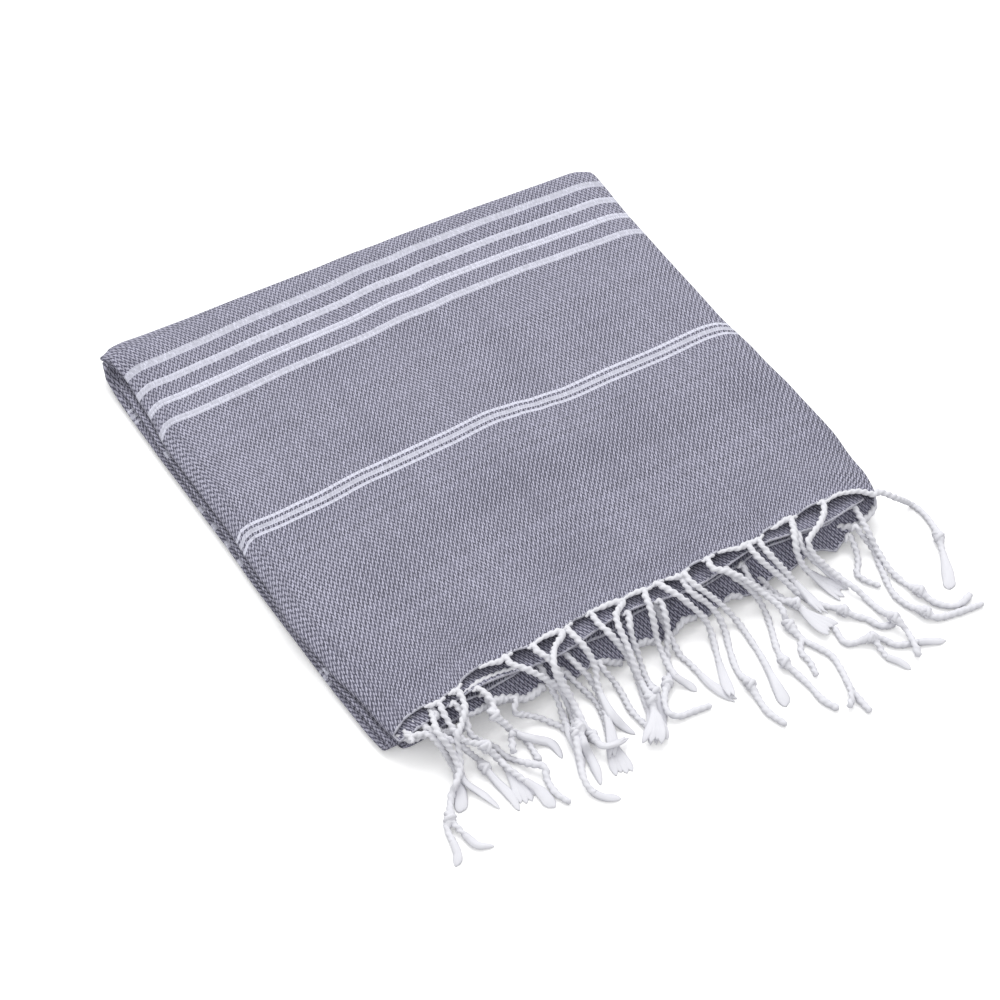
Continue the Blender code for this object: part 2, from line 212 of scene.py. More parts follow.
# how far the woven stripes bow out of line: place across, shift at half depth, shift at the back
weftBow = [
    (-127, -0.6, -0.6), (-122, 2.5, 2.8), (-108, 1.1, 1.2), (-90, 1.6, 1.6), (-60, 4.0, 2.6),
    (-24, 4.5, 2.6), (0, 5.5, 4.3), (12, 4.1, 3.8), (24, 2.3, 4.6), (38, 1.1, 4.4),
    (60, 1.7, 4.2), (84, 1.5, 3.0), (108, 2.6, 2.0), (119, 1.8, 1.4), (124, -0.2, 0.2),
]

# the bow grows over a length from the hem, fades in a band before the back edge, and goes from
# the first shift to the second behind the middle
weftBowShape = {"fromHem": 60.0, "pastBack": 4.0, "backBand": 16.0, "middle": -2.0,
                "toBack": 76.0}

# soft swells of the top panel, as in the solids
swells = [
    {"x": -60.0, "y": 42.0, "long": 78.0, "wide": 30.0, "turn": 24.0, "rise": 1.1},
    {"x": 48.0, "y": 60.0, "long": 70.0, "wide": 26.0, "turn": -32.0, "rise": 0.9},
    {"x": 22.0, "y": -30.0, "long": 88.0, "wide": 28.0, "turn": -46.0, "rise": 1.2},
    {"x": -82.0, "y": -48.0, "long": 60.0, "wide": 24.0, "turn": -58.0, "rise": 0.8},
]

# soft creases of the top panel: start, end, half width and rise (below 0 is a trough)
creases = [
    {"start": (8, -4), "end": (84, -106), "wide": 8.0, "rise": 0.55},
    {"start": (20, -34), "end": (70, -112), "wide": 7.0, "rise": -0.45},
    {"start": (92, -88), "end": (124, -96), "wide": 6.0, "rise": -0.6},
    {"start": (84, -100), "end": (122, -108), "wide": 6.0, "rise": 0.6},
    {"start": (-122, -78), "end": (-98, -116), "wide": 7.0, "rise": -0.6},
    {"start": (-112, -100), "end": (-84, -104), "wide": 6.0, "rise": 0.5},
    {"start": (4, -18), "end": (-32, -104), "wide": 9.0, "rise": 0.35},
    {"start": (96, 32), "end": (106, -28), "wide": 8.0, "rise": -0.35},
    {"start": (-96, 16), "end": (-60, -10), "wide": 10.0, "rise": 0.3},
]
creaseFade = 0.55           # how much weaker a crease is at its two ends


def station(across, up, turnAcross, turnUp, weights, length):
    return {"across": across, "up": up, "turnAcross": turnAcross, "turnUp": turnUp,
            "weights": weights, "length": length}


def only(count, index):
    return [1.0 if i == index else 0.0 for i in range(count)]


def addRun(path, start, end, up, weights, cell, firstCells=()):
    # stations along a straight stretch, after what the path already holds
    way = 1.0 if end > start else -1.0
    length = abs(end - start)
    begin = path[-1]["length"] if path else 0.0
    rest = length - (firstCells[-1] if firstCells else 0.0)
    count = max(2, round(rest / cell))
    places = [0.0, *firstCells] if firstCells else [0.0]
    places += [length - rest + rest * i / count for i in range(1, count + 1)]
    if path:
        places = places[1:]
    for place in places:
        path.append(station(start + way * place, up, way, 0.0, weights, begin + place))


def addBend(path, centre, up, radius, firstAngle, sweep, before, after, cells):
    # stations round a fold, up to where the next stretch starts
    way = 1.0 if sweep > 0 else -1.0
    begin = path[-1]["length"]
    for i in range(1, cells + 1):
        angle = math.radians(firstAngle + sweep * i / cells)
        part = ease(i / cells)
        weights = [lerp(a, b, part) for a, b in zip(before, after)]
        turned = math.radians(abs(sweep)) * i / cells
        path.append(station(
            centre + radius * math.cos(angle), up + radius * math.sin(angle),
            -math.sin(angle) * way, math.cos(angle) * way, weights, begin + radius * turned,
        ))


def widthPath():
    # lowest layer, big loop, top layer, left fold, second layer, small loop, third layer
    outer = halfWidth - layerUp[0] - cloth["sheet"] / 2
    inner = outer - cloth["loopSetback"]
    left = -halfWidth + cloth["layerPitch"] / 2 + cloth["sheet"] / 2
    layers = [only(4, layer) for layer in range(4)]
    smallLoop = cloth["layerPitch"] / 2
    path = []
    addRun(path, -halfWidth + cloth["selvedgeInset"][1], outer, layerUp[3], layers[3],
           cloth["hiddenCell"])
    addBend(path, outer, 0.0, layerUp[0], -90, 180, layers[3], layers[0], foldCells["bigLoop"])
    addRun(path, outer, left, layerUp[0], layers[0], cloth["topCell"])
    addBend(path, left, cloth["layerPitch"], smallLoop, 90, 180, layers[0], layers[1],
            foldCells["smallLoop"])
    addRun(path, left, inner, layerUp[1], layers[1], cloth["hiddenCell"])
    addBend(path, inner, 0.0, smallLoop, 90, -180, layers[1], layers[2],
            foldCells["smallLoop"])
    addRun(path, inner, -halfWidth + cloth["selvedgeInset"][0], layerUp[2], layers[2],
           cloth["hiddenCell"])
    return path


def lengthPath():
    # top panel from its hem, back fold, middle panel, front fold, lowest panel
    outer = cloth["panelPitch"] / 2 + band / 2
    front = -halfDepth + outer
    back = halfDepth - outer
    panels = [only(3, panel) for panel in range(3)]
    radius = cloth["panelPitch"] / 2
    path = []
    addRun(path, -halfDepth, back, panelUp[0], panels[0], cloth["topCell"], cloth["hemCells"])
    addBend(path, back, (panelUp[0] + panelUp[1]) / 2, radius, 90, -180,
            panels[0], panels[1], foldCells["backFold"])
    addRun(path, back, front, panelUp[1], panels[1], cloth["hiddenCell"])
    addBend(path, front, (panelUp[1] + panelUp[2]) / 2, radius, 90, 180,
            panels[1], panels[2], foldCells["frontFold"])
    addRun(path, front, halfDepth - cloth["endInset"], panelUp[2], panels[2],
           cloth["hiddenCell"])
    return path


def tableValue(rows, x, column):
    # a column of a short table at a place along its first column
    for low, high in zip(rows, rows[1:]):
        if x <= high[0]:
            break
    return lerp(low[column], high[column], ease((x - low[0]) / (high[0] - low[0])))


def swellRise(x, y):
    rise = 0.0
    for swell in swells:
        turn = math.radians(swell["turn"])
        along = (x - swell["x"]) * math.cos(turn) + (y - swell["y"]) * math.sin(turn)
        aside = (y - swell["y"]) * math.cos(turn) - (x - swell["x"]) * math.sin(turn)
        reach = (along / swell["long"]) ** 2 + (aside / swell["wide"]) ** 2
        rise += swell["rise"] * math.exp(-reach)
    return rise


def creaseRise(x, y):
    rise = 0.0
    for crease in creases:
        start, end = Vector(crease["start"]), Vector(crease["end"])
        along = end - start
        part = (Vector((x, y)) - start).dot(along) / along.length_squared
        inside = min(max(part, 0.0), 1.0)
        aside = (Vector((x, y)) - start - along * inside).length / crease["wide"]
        fade = 1.0 - creaseFade * abs(2.0 * inside - 1.0)
        rise += crease["rise"] * fade * math.exp(-aside * aside)
    return rise


def hemLine(x):
    # the top hem's place in plan, its share of the arch between two strands, and their distance
    for low, high in zip(hemCusps, hemCusps[1:]):
        if x <= high[0]:
            break
    part = min(max((x - low[0]) / (high[0] - low[0]), 0.0), 1.0)
    spacing = high[0] - low[0]
    return lerp(low[1], high[1], part), 4.0 * part * (1.0 - part), spacing


def hemSway(x, weights):
    # how far a layer's hem moves back with its wave
    sway = 0.0
    for share, wave in zip(weights, hemWaves):
        turn = 2.0 * math.pi * x / wave["length"] + wave["phase"]
        sway += share * wave["sway"] * math.sin(turn)
    return sway


def hemDrop(x, fromHem, weights):
    # how far the lowest layer's hem droops, and the one above it with it
    share = sum(part * much for part, much in zip(weights, hemDroopShape["shares"]))
    wave = math.sin(2.0 * math.pi * x / hemDroopShape["waveLength"])
    drop = tableValue(hemDroop, x, 1) * (1.0 + hemDroopShape["wave"] * wave)
    return share * drop * ease(1.0 - fromHem / hemDroopShape["reach"])


def hemRise(x, weights):
    # how far the hems have lifted off one another, from the lowest layer up
    side = ease((abs(x) - (halfWidth - cloth["hemEdgeBand"])) / cloth["hemEdgeBand"])
    total = 0.0
    rise = 0.0
    for layer in (3, 2, 1, 0):
        wave = hemWaves[layer]
        turn = 2.0 * math.pi * x / wave["length"] + wave["phase"]
        total += wave["rest"] + wave["swing"] * (1.0 + math.sin(turn))
        rise += weights[layer] * total * (1.0 - cloth["hemEdgeLoss"] * side)
    return rise


def bowOut(x, y, panels):
    # how far a place moves out to its side
    side = ease((abs(x) - halfWidth + cloth["bowReach"]) / cloth["bowReach"])
    if x > 0.0:
        return side * tableValue(sideBow, y, 3)
    top, middle, low = panels
    onTop = tableValue(sideBow, y, 1)
    onLowest = tableValue(sideBow, y, 2)
    hollow = ease((y - cornerHollow["from"]) / cornerHollow["over"])
    onMiddle = (onTop + onLowest) / 2 - cornerHollow["depth"] * hollow
    return -side * (top * onTop + middle * onMiddle + low * onLowest)


def cornerShare(x, y, across, along):
    # 1 at the back left corner, down to 0 at a distance across and along from it
    beside = ease((-x - halfWidth + across) / across)
    behind = ease((y - halfDepth + along) / along)
    return beside * behind


def inPlan(x, y):
    corner = cloth["cornerBand"]
    beside = ease((abs(x) - halfWidth + corner) / corner)
    behind = ease((y - halfDepth + corner) / corner)
    before = ease((-y - halfDepth + corner) / corner)
    pull = beside * (cloth["backCornerPull"] * behind + cloth["frontCornerPull"] * before)
    planX = (x - math.copysign(pull, x)) * (1.0 + cloth["widthTaper"] * y / halfDepth)
    planY = (y - math.copysign(pull, y)) * (1.0 - cloth["depthTaper"] * x / halfWidth)
    return planX, planY


def droop(x, z):
    # the pack is thinner over its two side folds
    left = ease((-x - halfWidth + cloth["leftDroopBand"]) / cloth["leftDroopBand"])
    right = ease((x - halfWidth + cloth["rightDroopBand"]) / cloth["rightDroopBand"])
    share = cloth["leftDroop"] * left + cloth["rightDroop"] * right
    return z - share * max(z - cloth["droopFrom"], 0.0)


def broadRise(x, y):
    return swellRise(x, y) + cloth["crown"] * (1.0 - (x / halfWidth) ** 2)


def hemHeight(x):
    # height of the top hem where it isn't arched
    y = -halfDepth
    rise = hemRise(x, only(4, 0)) + broadRise(x, y) + creaseRise(x, y)
    return droop(x, panelUp[0] + layerUp[0] + rise)


def findCusps():
    # where the line of sight through each gather pixel meets the top hem
    cusps = []
    for pixel in gatherPixels:
        near = photoPlace(pixel, panelUp[0] + band / 2)
        place = photoPlace(pixel, hemHeight(near.x))
        cusps.append((place.x, place.y))
    return cusps


hemCusps = findCusps()


def leftHang(x, weights, panels):
    # the fold of a panel's outer layers hangs down, or stands up, over its selvedges
    near = ease((-x - halfWidth + leftFold["hangBand"]) / leftFold["hangBand"])
    outer = weights[0] + weights[1]
    return outer * near * sum(part * hang for part, hang in zip(panels, leftFold["hang"]))


def leftTuck(x, y, weights, panels):
    # how far the layers with the selvedges stand back from the left side
    near = ease((-x - halfWidth + leftFold["tuckBand"]) / leftFold["tuckBand"])
    corner = cornerShare(x, y, cornerHollow["across"], cornerHollow["along"])
    more = (panels[0] + panels[1]) * cornerHollow["tuck"] * corner
    return (weights[2] + weights[3]) * (near * leftFold["tuck"] + more)


def sheetRise(x, y, weights, panels):
    # the swells, creases and corners of the panels, and how their left folds hang
    top, middle, low = panels
    inner = weights[2] + weights[3]
    atCorner = cornerShare(x, y, cornerLoft["across"], cornerLoft["along"])
    atLowCorner = cornerShare(x, y, lowCorner["riseAcross"], lowCorner["along"])
    rise = (top + cloth["swellBelow"] * middle) * broadRise(x, y)
    rise += top * creaseRise(x, y) * (1.0 - cloth["creaseLoss"] * (1.0 - weights[0]))
    rise += top * atCorner * cornerLoft["rise"] * (1.0 - cornerLoft["innerLoss"] * inner)
    rise += leftHang(x, weights, panels) * (1.0 - atCorner)
    return rise + low * lowCorner["rise"] * atLowCorner


def archOut(x, planX, fromHem, share):
    # how far back and up the top hem moves, to run through its strands and arch between them
    lineY, arch, spacing = hemLine(planX)
    baseY = inPlan(x, -halfDepth + cloth["hemSetback"][0])[1]
    lineFade = share * ease(1.0 - fromHem / hemArch["lineReach"])
    archFade = share * ease(1.0 - fromHem / hemArch["reach"]) ** 2
    back = (lineY - baseY) * lineFade
    back += min(hemArch["depth"] * spacing, hemArch["most"]) * arch * archFade
    return back, min(hemArch["lift"] * spacing, hemArch["mostLift"]) * arch * archFade


def bowBack(planX, planY, y, fromHem):
    # how far back a woven stripe bows
    shape = weftBowShape
    inside = ease(fromHem / shape["fromHem"])
    inside *= ease((halfDepth + shape["pastBack"] - y) / shape["backBand"])
    toBack = ease((planY - shape["middle"]) / shape["toBack"])
    return inside * lerp(tableValue(weftBow, planX, 1), tableValue(weftBow, planX, 2), toBack)


def foldedPlace(column, row):
    # where a point of the cloth's middle surface lies
    x = column["across"]
    y = row["across"] - column["up"] * row["turnUp"]
    z = row["up"] + column["up"] * row["turnAcross"]
    weights, panels = column["weights"], row["weights"]
    top, low = panels[0], panels[2]
    fromHem = y + halfDepth
    nearHem = top * ease(1.0 - fromHem / cloth["hemReach"])
    nearBack = (y - halfDepth + cloth["backLoftBand"]) / cloth["backLoftBand"]
    setback = sum(w * s for w, s in zip(weights, cloth["hemSetback"]))
    dropped = top * hemDrop(x, fromHem, weights)
    y += nearHem * (setback + hemSway(x, weights)) - hemDroopShape["forward"] * dropped
    z += nearHem * hemRise(x, weights) - dropped
    z += top * ease(nearBack * cloth["backLoftSlope"]) * cloth["backLoft"]
    z += sheetRise(x, y, weights, panels)
    tuck = leftTuck(x, y, weights, panels)
    y += low * lowCorner["reach"] * cornerShare(x, y, lowCorner["across"], lowCorner["along"])
    planX, planY = inPlan(x, y)
    planX += bowOut(x, y, panels) + tuck
    if top > 0.0:
        back, up = archOut(x, planX, fromHem, weights[0] * top)
        planY += back
        planY += top * bowBack(planX, planY, y, fromHem)
        z += up
    return Vector((planX, planY, droop(x, z)))


def flatLength(column, row):
    # distance along the warp from the hem: the folds are a little askew to the weft, and the
    # cloth is longer where its hem droops
    middle = cloth["skewCentre"]
    skew = 1.0 - cloth["depthTaper"] * column["across"] / halfWidth
    fromHem = row["across"] + halfDepth
    dropped = row["weights"][0] * hemDrop(column["across"], fromHem, column["weights"])
    return middle + (row["length"] - middle) * skew - hemDroopShape["slack"] * dropped


def newPiece(name, shape, material):
    mesh = bpy.data.meshes.new(name)
    shape.to_mesh(mesh)
    shape.free()
    mesh.materials.append(material)
    mesh.shade_smooth()
    piece = bpy.data.objects.new(name, mesh)
    bpy.context.scene.collection.objects.link(piece)
    return piece


def makeCloth(material):
    columns = widthPath()
    rows = lengthPath()
    shape = bmesh.new()
    uv = shape.loops.layers.uv.new("cloth")
    edgeUv = shape.loops.layers.uv.new("edge")
    bmesh.ops.create_grid(shape, x_segments=len(columns) - 1, y_segments=len(rows) - 1,
                          size=0.5)
    numbers = {}
    lengths = {}
    for vert in shape.verts:
        column = columns[round((vert.co.x + 0.5) * (len(columns) - 1))]
        row = rows[round((vert.co.y + 0.5) * (len(rows) - 1))]
        numbers[vert] = (column["length"] * mm, flatLength(column, row) * mm)
        lengths[vert] = (column["length"] * mm, row["length"] * mm)
        vert.co = foldedPlace(column, row) * mm
    for face in shape.faces:
        for loop in face.loops:
            loop[uv].uv = numbers[loop.vert]
            loop[edgeUv].uv = lengths[loop.vert]
    flat = (columns[-1]["length"] * mm, rows[-1]["length"] * mm)
    piece = newPiece("towelCloth", shape, material)
    solid = piece.modifiers.new("thickness", "SOLIDIFY")
    solid.thickness = cloth["thickness"] * mm
    solid.offset = 0.0
    solid.use_even_offset = False
    return piece, flat


# shader helpers: a value is a number or a socket
def feed(tree, socket, value):
    if isinstance(value, (int, float, tuple)):
        socket.default_value = value
    else:
        tree.links.new(value, socket)


def maths(tree, operation, first, second=0.0, third=None, clamp=False):
    node = tree.nodes.new("ShaderNodeMath")
    node.operation = operation
    node.use_clamp = clamp
    feed(tree, node.inputs[0], first)
    feed(tree, node.inputs[1], second)
    if third is not None:
        feed(tree, node.inputs[2], third)
    return node.outputs[0]


def mixColour(tree, factor, first, second):
    node = tree.nodes.new("ShaderNodeMix")
    node.data_type = "RGBA"
    feed(tree, node.inputs["Factor"], factor)
    feed(tree, node.inputs["A"], first)
    feed(tree, node.inputs["B"], second)
    return node.outputs["Result"]


def noiseNode(tree, place, scale, detail=2.0):
    node = tree.nodes.new("ShaderNodeTexNoise")
    node.inputs["Scale"].default_value = scale
    node.inputs["Detail"].default_value = detail
    feed(tree, node.inputs["Vector"], place)
    return node.outputs


def axesOf(tree, place):
    node = tree.nodes.new("ShaderNodeSeparateXYZ")
    feed(tree, node.inputs[0], place)
    return node.outputs


def mapPlace(tree, title):
    # the place on a piece's own UV map
    node = tree.nodes.new("ShaderNodeUVMap")
    node.uv_map = title
    return node.outputs[0]


def newCloth(name, finish):
    # a matt textile with its soft sheen
    material = bpy.data.materials.new(name)
    material.use_nodes = True
    shader = material.node_tree.nodes["Principled BSDF"]
    shader.inputs["Roughness"].default_value = finish["roughness"]
    shader.inputs["Specular IOR Level"].default_value = finish["gloss"]
    shader.inputs["Sheen Weight"].default_value = finish["sheen"]
    shader.inputs["Sheen Roughness"].default_value = finish["sheenRoughness"]
    return material, material.node_tree, shader


def addBump(tree, shader, height, finish):
    bump = tree.nodes.new("ShaderNodeBump")
    bump.inputs["Strength"].default_value = finish["bump"]
    bump.inputs["Distance"].default_value = finish["bumpDepth"] * mm
    feed(tree, bump.inputs["Height"], height)
    feed(tree, shader.inputs["Normal"], bump.outputs[0])


def newGroup(name, inputs, outputs):
    tree = bpy.data.node_groups.new(name, "ShaderNodeTree")
    for title, kind in inputs:
        tree.interface.new_socket(title, in_out="INPUT", socket_type=kind)
    for title, kind in outputs:
        tree.interface.new_socket(title, in_out="OUTPUT", socket_type=kind)
    start = tree.nodes.new("NodeGroupInput")
    end = tree.nodes.new("NodeGroupOutput")
    return tree, start.outputs, end.inputs


def placeGroup(tree, group, **values):
    node = tree.nodes.new("ShaderNodeGroup")
    node.node_tree = group
    for title, value in values.items():
        feed(tree, node.inputs[title], value)
    return node.outputs


# the weave: a four-end broken twill, light warp over a blue-grey weft
weave = {
    "endPitch": 0.57,   # mm between warp ends
    "pickPitch": 0.79,  # mm between weft picks
    "waver": 0.4,       # mm that yarns wander, and over how many features per mm
    "waverScale": 0.35,
    "lean": -0.32,      # slope of a float against the warp at the hem, from the yarn's twist
    "leanTurn": 0.0014,  # change of that slope per mm from the hem, up to the first fold
    "leanSway": 0.5,    # how much it wanders, again with its features per mm
    "leanScale": 0.03,
    "edge": 0.62,       # softness where a yarn dives under
    "bias": 0.12,       # how much shorter the warp floats are than the weft floats
    "repeat": 4.0,      # picks and ends of one repeat
    "dive": 0.8,        # how deep a yarn dives, against its own half thickness
    "endTone": 0.4,     # share of a warp yarn's tone that it keeps along the cloth
    "floatTone": 0.6,   # and share that changes from float to float
    "floatStep": 37.7,  # keeps the floats of one end apart from those of the next
}
toneSeeds = {"float": 1.3, "end": 3.7, "pick": 9.1}

# woven stripes: distance of each from the fringed hem, its number of white picks, and how many
# picks the thin ones lie away from the thick one
wideStripes = [195.4, 207.6, 219.8, 231.4, 317.0, 459.0, 628.5, 640.5, 652.5, 664.5]
tripleStripes = [120.1, 555.0, 729.5]
stripeCut = {"wide": 5, "thin": 2, "thick": 3, "thinAway": 4.5, "margin": 0.25}


def weaveGroup():
    tree, start, end = newGroup("brokenTwill", [
        ("Cloth", "NodeSocketVector"), ("End Pitch", "NodeSocketFloat"),
        ("Pick Pitch", "NodeSocketFloat"), ("Waver", "NodeSocketFloat"),
        ("Softness", "NodeSocketFloat"), ("Bias", "NodeSocketFloat"),
    ], [
        ("Warp", "NodeSocketFloat"), ("Height", "NodeSocketFloat"),
        ("Pick", "NodeSocketFloat"), ("Shade", "NodeSocketFloat"),
    ])
    place = tree.nodes.new("ShaderNodeVectorMath")
    place.operation = "SCALE"
    feed(tree, place.inputs[0], start["Cloth"])
    place.inputs["Scale"].default_value = 1.0 / mm
    ends, picks = yarnCounts(tree, start, place.outputs[0])
    endNumber = maths(tree, "FLOOR", ends)
    pickNumber = maths(tree, "FLOOR", picks)
    shifted = twillShift(tree, endNumber, picks)
    # place along a float, up to half a repeat from its middle, and its slant across the end
    along = maths(tree, "SUBTRACT", maths(tree, "FLOORED_MODULO", shifted, weave["repeat"]),
                  weave["repeat"] / 2)
    wave = maths(tree, "COSINE", maths(tree, "MULTIPLY", along, 2 * math.pi / weave["repeat"]))
    slant = maths(tree, "MULTIPLY",
                  maths(tree, "MULTIPLY", along, floatLean(tree, place.outputs[0])),
                  maths(tree, "DIVIDE", start["Pick Pitch"], start["End Pitch"]))
    endRound = roundYarn(tree, maths(tree, "SUBTRACT", maths(tree, "FRACT", ends), slant))
    pickRound = roundYarn(tree, maths(tree, "FRACT", picks))
    warpUp = maths(tree, "ADD", maths(tree, "MULTIPLY", wave, weave["dive"]), endRound)
    weftUp = maths(tree, "ADD", maths(tree, "MULTIPLY", wave, -weave["dive"]), pickRound)
    over = maths(tree, "SUBTRACT", maths(tree, "SUBTRACT", warpUp, weftUp), start["Bias"])
    mask = maths(tree, "ADD", maths(tree, "DIVIDE", over, start["Softness"]), 0.5, clamp=True)
    feed(tree, end["Warp"], mask)
    feed(tree, end["Height"], maths(tree, "MAXIMUM", warpUp, weftUp))
    feed(tree, end["Pick"], maths(tree, "ADD", pickNumber, 0.5))
    feed(tree, end["Shade"], weaveShade(tree, endNumber, pickNumber, shifted, mask))
    return tree


def yarnCounts(tree, start, place):
    # the place on the cloth, counted in warp ends and in weft picks that wander a little
    drift = tree.nodes.new("ShaderNodeSeparateColor")
    feed(tree, drift.inputs[0], noiseNode(tree, place, weave["waverScale"], 1.0)["Color"])
    axes = axesOf(tree, place)
    counts = []
    for index, pitch in enumerate(("End Pitch", "Pick Pitch")):
        sway = maths(tree, "MULTIPLY", maths(tree, "SUBTRACT", drift.outputs[index], 0.5),
                     start["Waver"])
        moved = maths(tree, "ADD", axes[index], sway)
        counts.append(maths(tree, "DIVIDE", moved, start[pitch]))
    return counts


def twillShift(tree, endNumber, picks):
    # picks past the start of an end's float: ends 0 1 2 3 rise from picks 0 1 3 2
    fourth = maths(tree, "FLOORED_MODULO", endNumber, weave["repeat"])
    swapped = maths(tree, "GREATER_THAN", fourth, 1.5)
    turn = maths(tree, "SUBTRACT", 5.0, maths(tree, "MULTIPLY", fourth, 2.0))
    phase = maths(tree, "ADD", fourth, maths(tree, "MULTIPLY", swapped, turn))
    return maths(tree, "ADD", maths(tree, "SUBTRACT", picks, phase), 1.0)


def weaveShade(tree, endNumber, pickNumber, shifted, mask):
    # the tone of the yarn that shows: a warp yarn's own and its float's, or a weft yarn's own
    floatNumber = maths(tree, "FLOOR", maths(tree, "DIVIDE", shifted, weave["repeat"]))
    floatPlace = maths(tree, "ADD", endNumber,
                       maths(tree, "MULTIPLY", floatNumber, weave["floatStep"]))
    endTone = maths(tree, "MULTIPLY", yarnTone(tree, endNumber, toneSeeds["end"]),
                    weave["endTone"])
    floatTone = maths(tree, "MULTIPLY", yarnTone(tree, floatPlace, toneSeeds["float"]),
                      weave["floatTone"])
    warpTone = maths(tree, "MULTIPLY", maths(tree, "ADD", endTone, floatTone), mask)
    weftTone = maths(tree, "MULTIPLY", yarnTone(tree, pickNumber, toneSeeds["pick"]),
                     maths(tree, "SUBTRACT", 1.0, mask))
    return maths(tree, "ADD", warpTone, weftTone)


def floatLean(tree, place):
    # the slope of the floats: it changes from the hem to the first fold, and wanders
    along = maths(tree, "MINIMUM", axesOf(tree, place)["Y"], cloth["depth"])
    turned = maths(tree, "ADD", maths(tree, "MULTIPLY", along, weave["leanTurn"]),
                   weave["lean"])
    sway = maths(tree, "SUBTRACT", noiseNode(tree, place, weave["leanScale"], 0.0)[0], 0.5)
    return maths(tree, "ADD", maths(tree, "MULTIPLY", sway, weave["leanSway"]), turned)


def roundYarn(tree, place):
    # height across a round yarn, from 0 at its sides to 1
    side = maths(tree, "SUBTRACT", maths(tree, "MULTIPLY", place, 2.0), 1.0)
    return maths(tree, "SUBTRACT", 1.0, maths(tree, "MULTIPLY", side, side))


def yarnTone(tree, number, seed):
    # each yarn is a little lighter or darker than the next
    tone = tree.nodes.new("ShaderNodeTexWhiteNoise")
    tone.noise_dimensions = "1D"
    feed(tree, tone.inputs["W"], maths(tree, "ADD", number, seed))
    return tone.outputs["Value"]


def stripeGroup():
    tree, start, end = newGroup("wovenStripes", [("Pick", "NodeSocketFloat")],
                                [("White", "NodeSocketFloat")])
    bars = [(place, stripeCut["wide"], 0.0) for place in wideStripes]
    for place in tripleStripes:
        bars.append((place, stripeCut["thick"], 0.0))
        bars.append((place, stripeCut["thin"], -stripeCut["thinAway"]))
        bars.append((place, stripeCut["thin"], stripeCut["thinAway"]))
    total = 0.0
    for place, count, away in bars:
        middle = round(place / weave["pickPitch"]) + 0.5 + away
        half = count / 2 - stripeCut["margin"]
        bar = maths(tree, "COMPARE", start["Pick"], middle, half)
        total = maths(tree, "ADD", bar, total, clamp=True)
    feed(tree, end["White"], total)
    return tree


clothFinish = {
    "warp": (0.385, 0.381, 0.47, 1.0),
    "weft": (0.1, 0.099, 0.138, 1.0),
    "whiteWeft": (0.56, 0.565, 0.655, 1.0),
    "stripeCover": 0.82,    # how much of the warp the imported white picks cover
    "hemFray": (0.50, 0.50, 0.57, 1.0),
    "frayWidth": 0.0006,    # m of the hem's edge that shows bare warp ends, and its unevenness
    "frayUneven": 0.0030,
    "frayScale": 900.0,
    "roughness": 0.92,
    "gloss": 0.25,
    "sheen": 0.15,
    "sheenRoughness": 0.5,
    "toneSpread": 0.5,      # how much the yarns differ, and the darkest one's share of the colour
    "toneFrom": 0.75,
    "creviceShade": 0.16,        # painted shade between the yarns: how much darker the colour is made there
    "bump": 0.4,
    "bumpDepth": 0.2,       # mm
}


def frayMask(tree):
    # 1 along the ragged edge of the hem
    place = mapPlace(tree, "edge")
    uneven = noiseNode(tree, place, clothFinish["frayScale"])[0]
    sway = maths(tree, "MULTIPLY", maths(tree, "SUBTRACT", uneven, 0.5),
                 clothFinish["frayUneven"])
    reach = maths(tree, "ADD", sway, clothFinish["frayWidth"])
    return maths(tree, "LESS_THAN", axesOf(tree, place)["Y"], reach)


def clothMaterial(twill, stripes):
    material, tree, shader = newCloth("blueGreyTwill", clothFinish)
    woven = placeGroup(tree, twill, **{
        "Cloth": mapPlace(tree, "cloth"), "End Pitch": weave["endPitch"],
        "Pick Pitch": weave["pickPitch"], "Waver": weave["waver"],
        "Softness": weave["edge"], "Bias": weave["bias"],
    })
    white = placeGroup(tree, stripes, Pick=woven["Pick"])["White"]
    weft = mixColour(tree, white, clothFinish["weft"], clothFinish["whiteWeft"])
    uncovered = maths(tree, "SUBTRACT", 1.0,
                      maths(tree, "MULTIPLY", white, clothFinish["stripeCover"]))
    plain = mixColour(tree, maths(tree, "MULTIPLY", woven["Warp"], uncovered), weft,
                      clothFinish["warp"])
    yarnColour = mixColour(tree, frayMask(tree), plain, clothFinish["hemFray"])
    # the base colour carries each yarn's own tone and painted shade between the yarns
    feed(tree, shader.inputs["Base Color"], tonedShadedYarn(tree, yarnColour, woven))
    addBump(tree, shader, woven["Height"], clothFinish)
    return material


def tonedShadedYarn(tree, yarnColour, woven):
    # each yarn's own tone, and painted shade in the low places between the yarns
    tone = maths(tree, "ADD", maths(tree, "MULTIPLY", woven["Shade"], clothFinish["toneSpread"]),
                 clothFinish["toneFrom"])
    # painted shade: the colour is darkened where the weave's height is low, between the yarns
    creviceShade = maths(tree, "ADD", maths(tree, "MULTIPLY", woven["Height"], clothFinish["creviceShade"]),
                    1.0 - clothFinish["creviceShade"], clamp=True)
    tonedShaded = tree.nodes.new("ShaderNodeMix")
    tonedShaded.data_type = "RGBA"
    tonedShaded.blend_type = "MULTIPLY"
    tonedShaded.inputs["Factor"].default_value = 1.0
    feed(tree, tonedShaded.inputs["A"], yarnColour)
    feed(tree, tonedShaded.inputs["B"], maths(tree, "MULTIPLY", tone, creviceShade))
    return tonedShaded.outputs["Result"]


twill = weaveGroup()
stripes = stripeGroup()
towelCloth, flatSize = makeCloth(clothMaterial(twill, stripes))
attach(towelCloth, "root")
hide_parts("towel_cloth")
print("cloth folded, flat size", [round(side, 3) for side in flatSize])

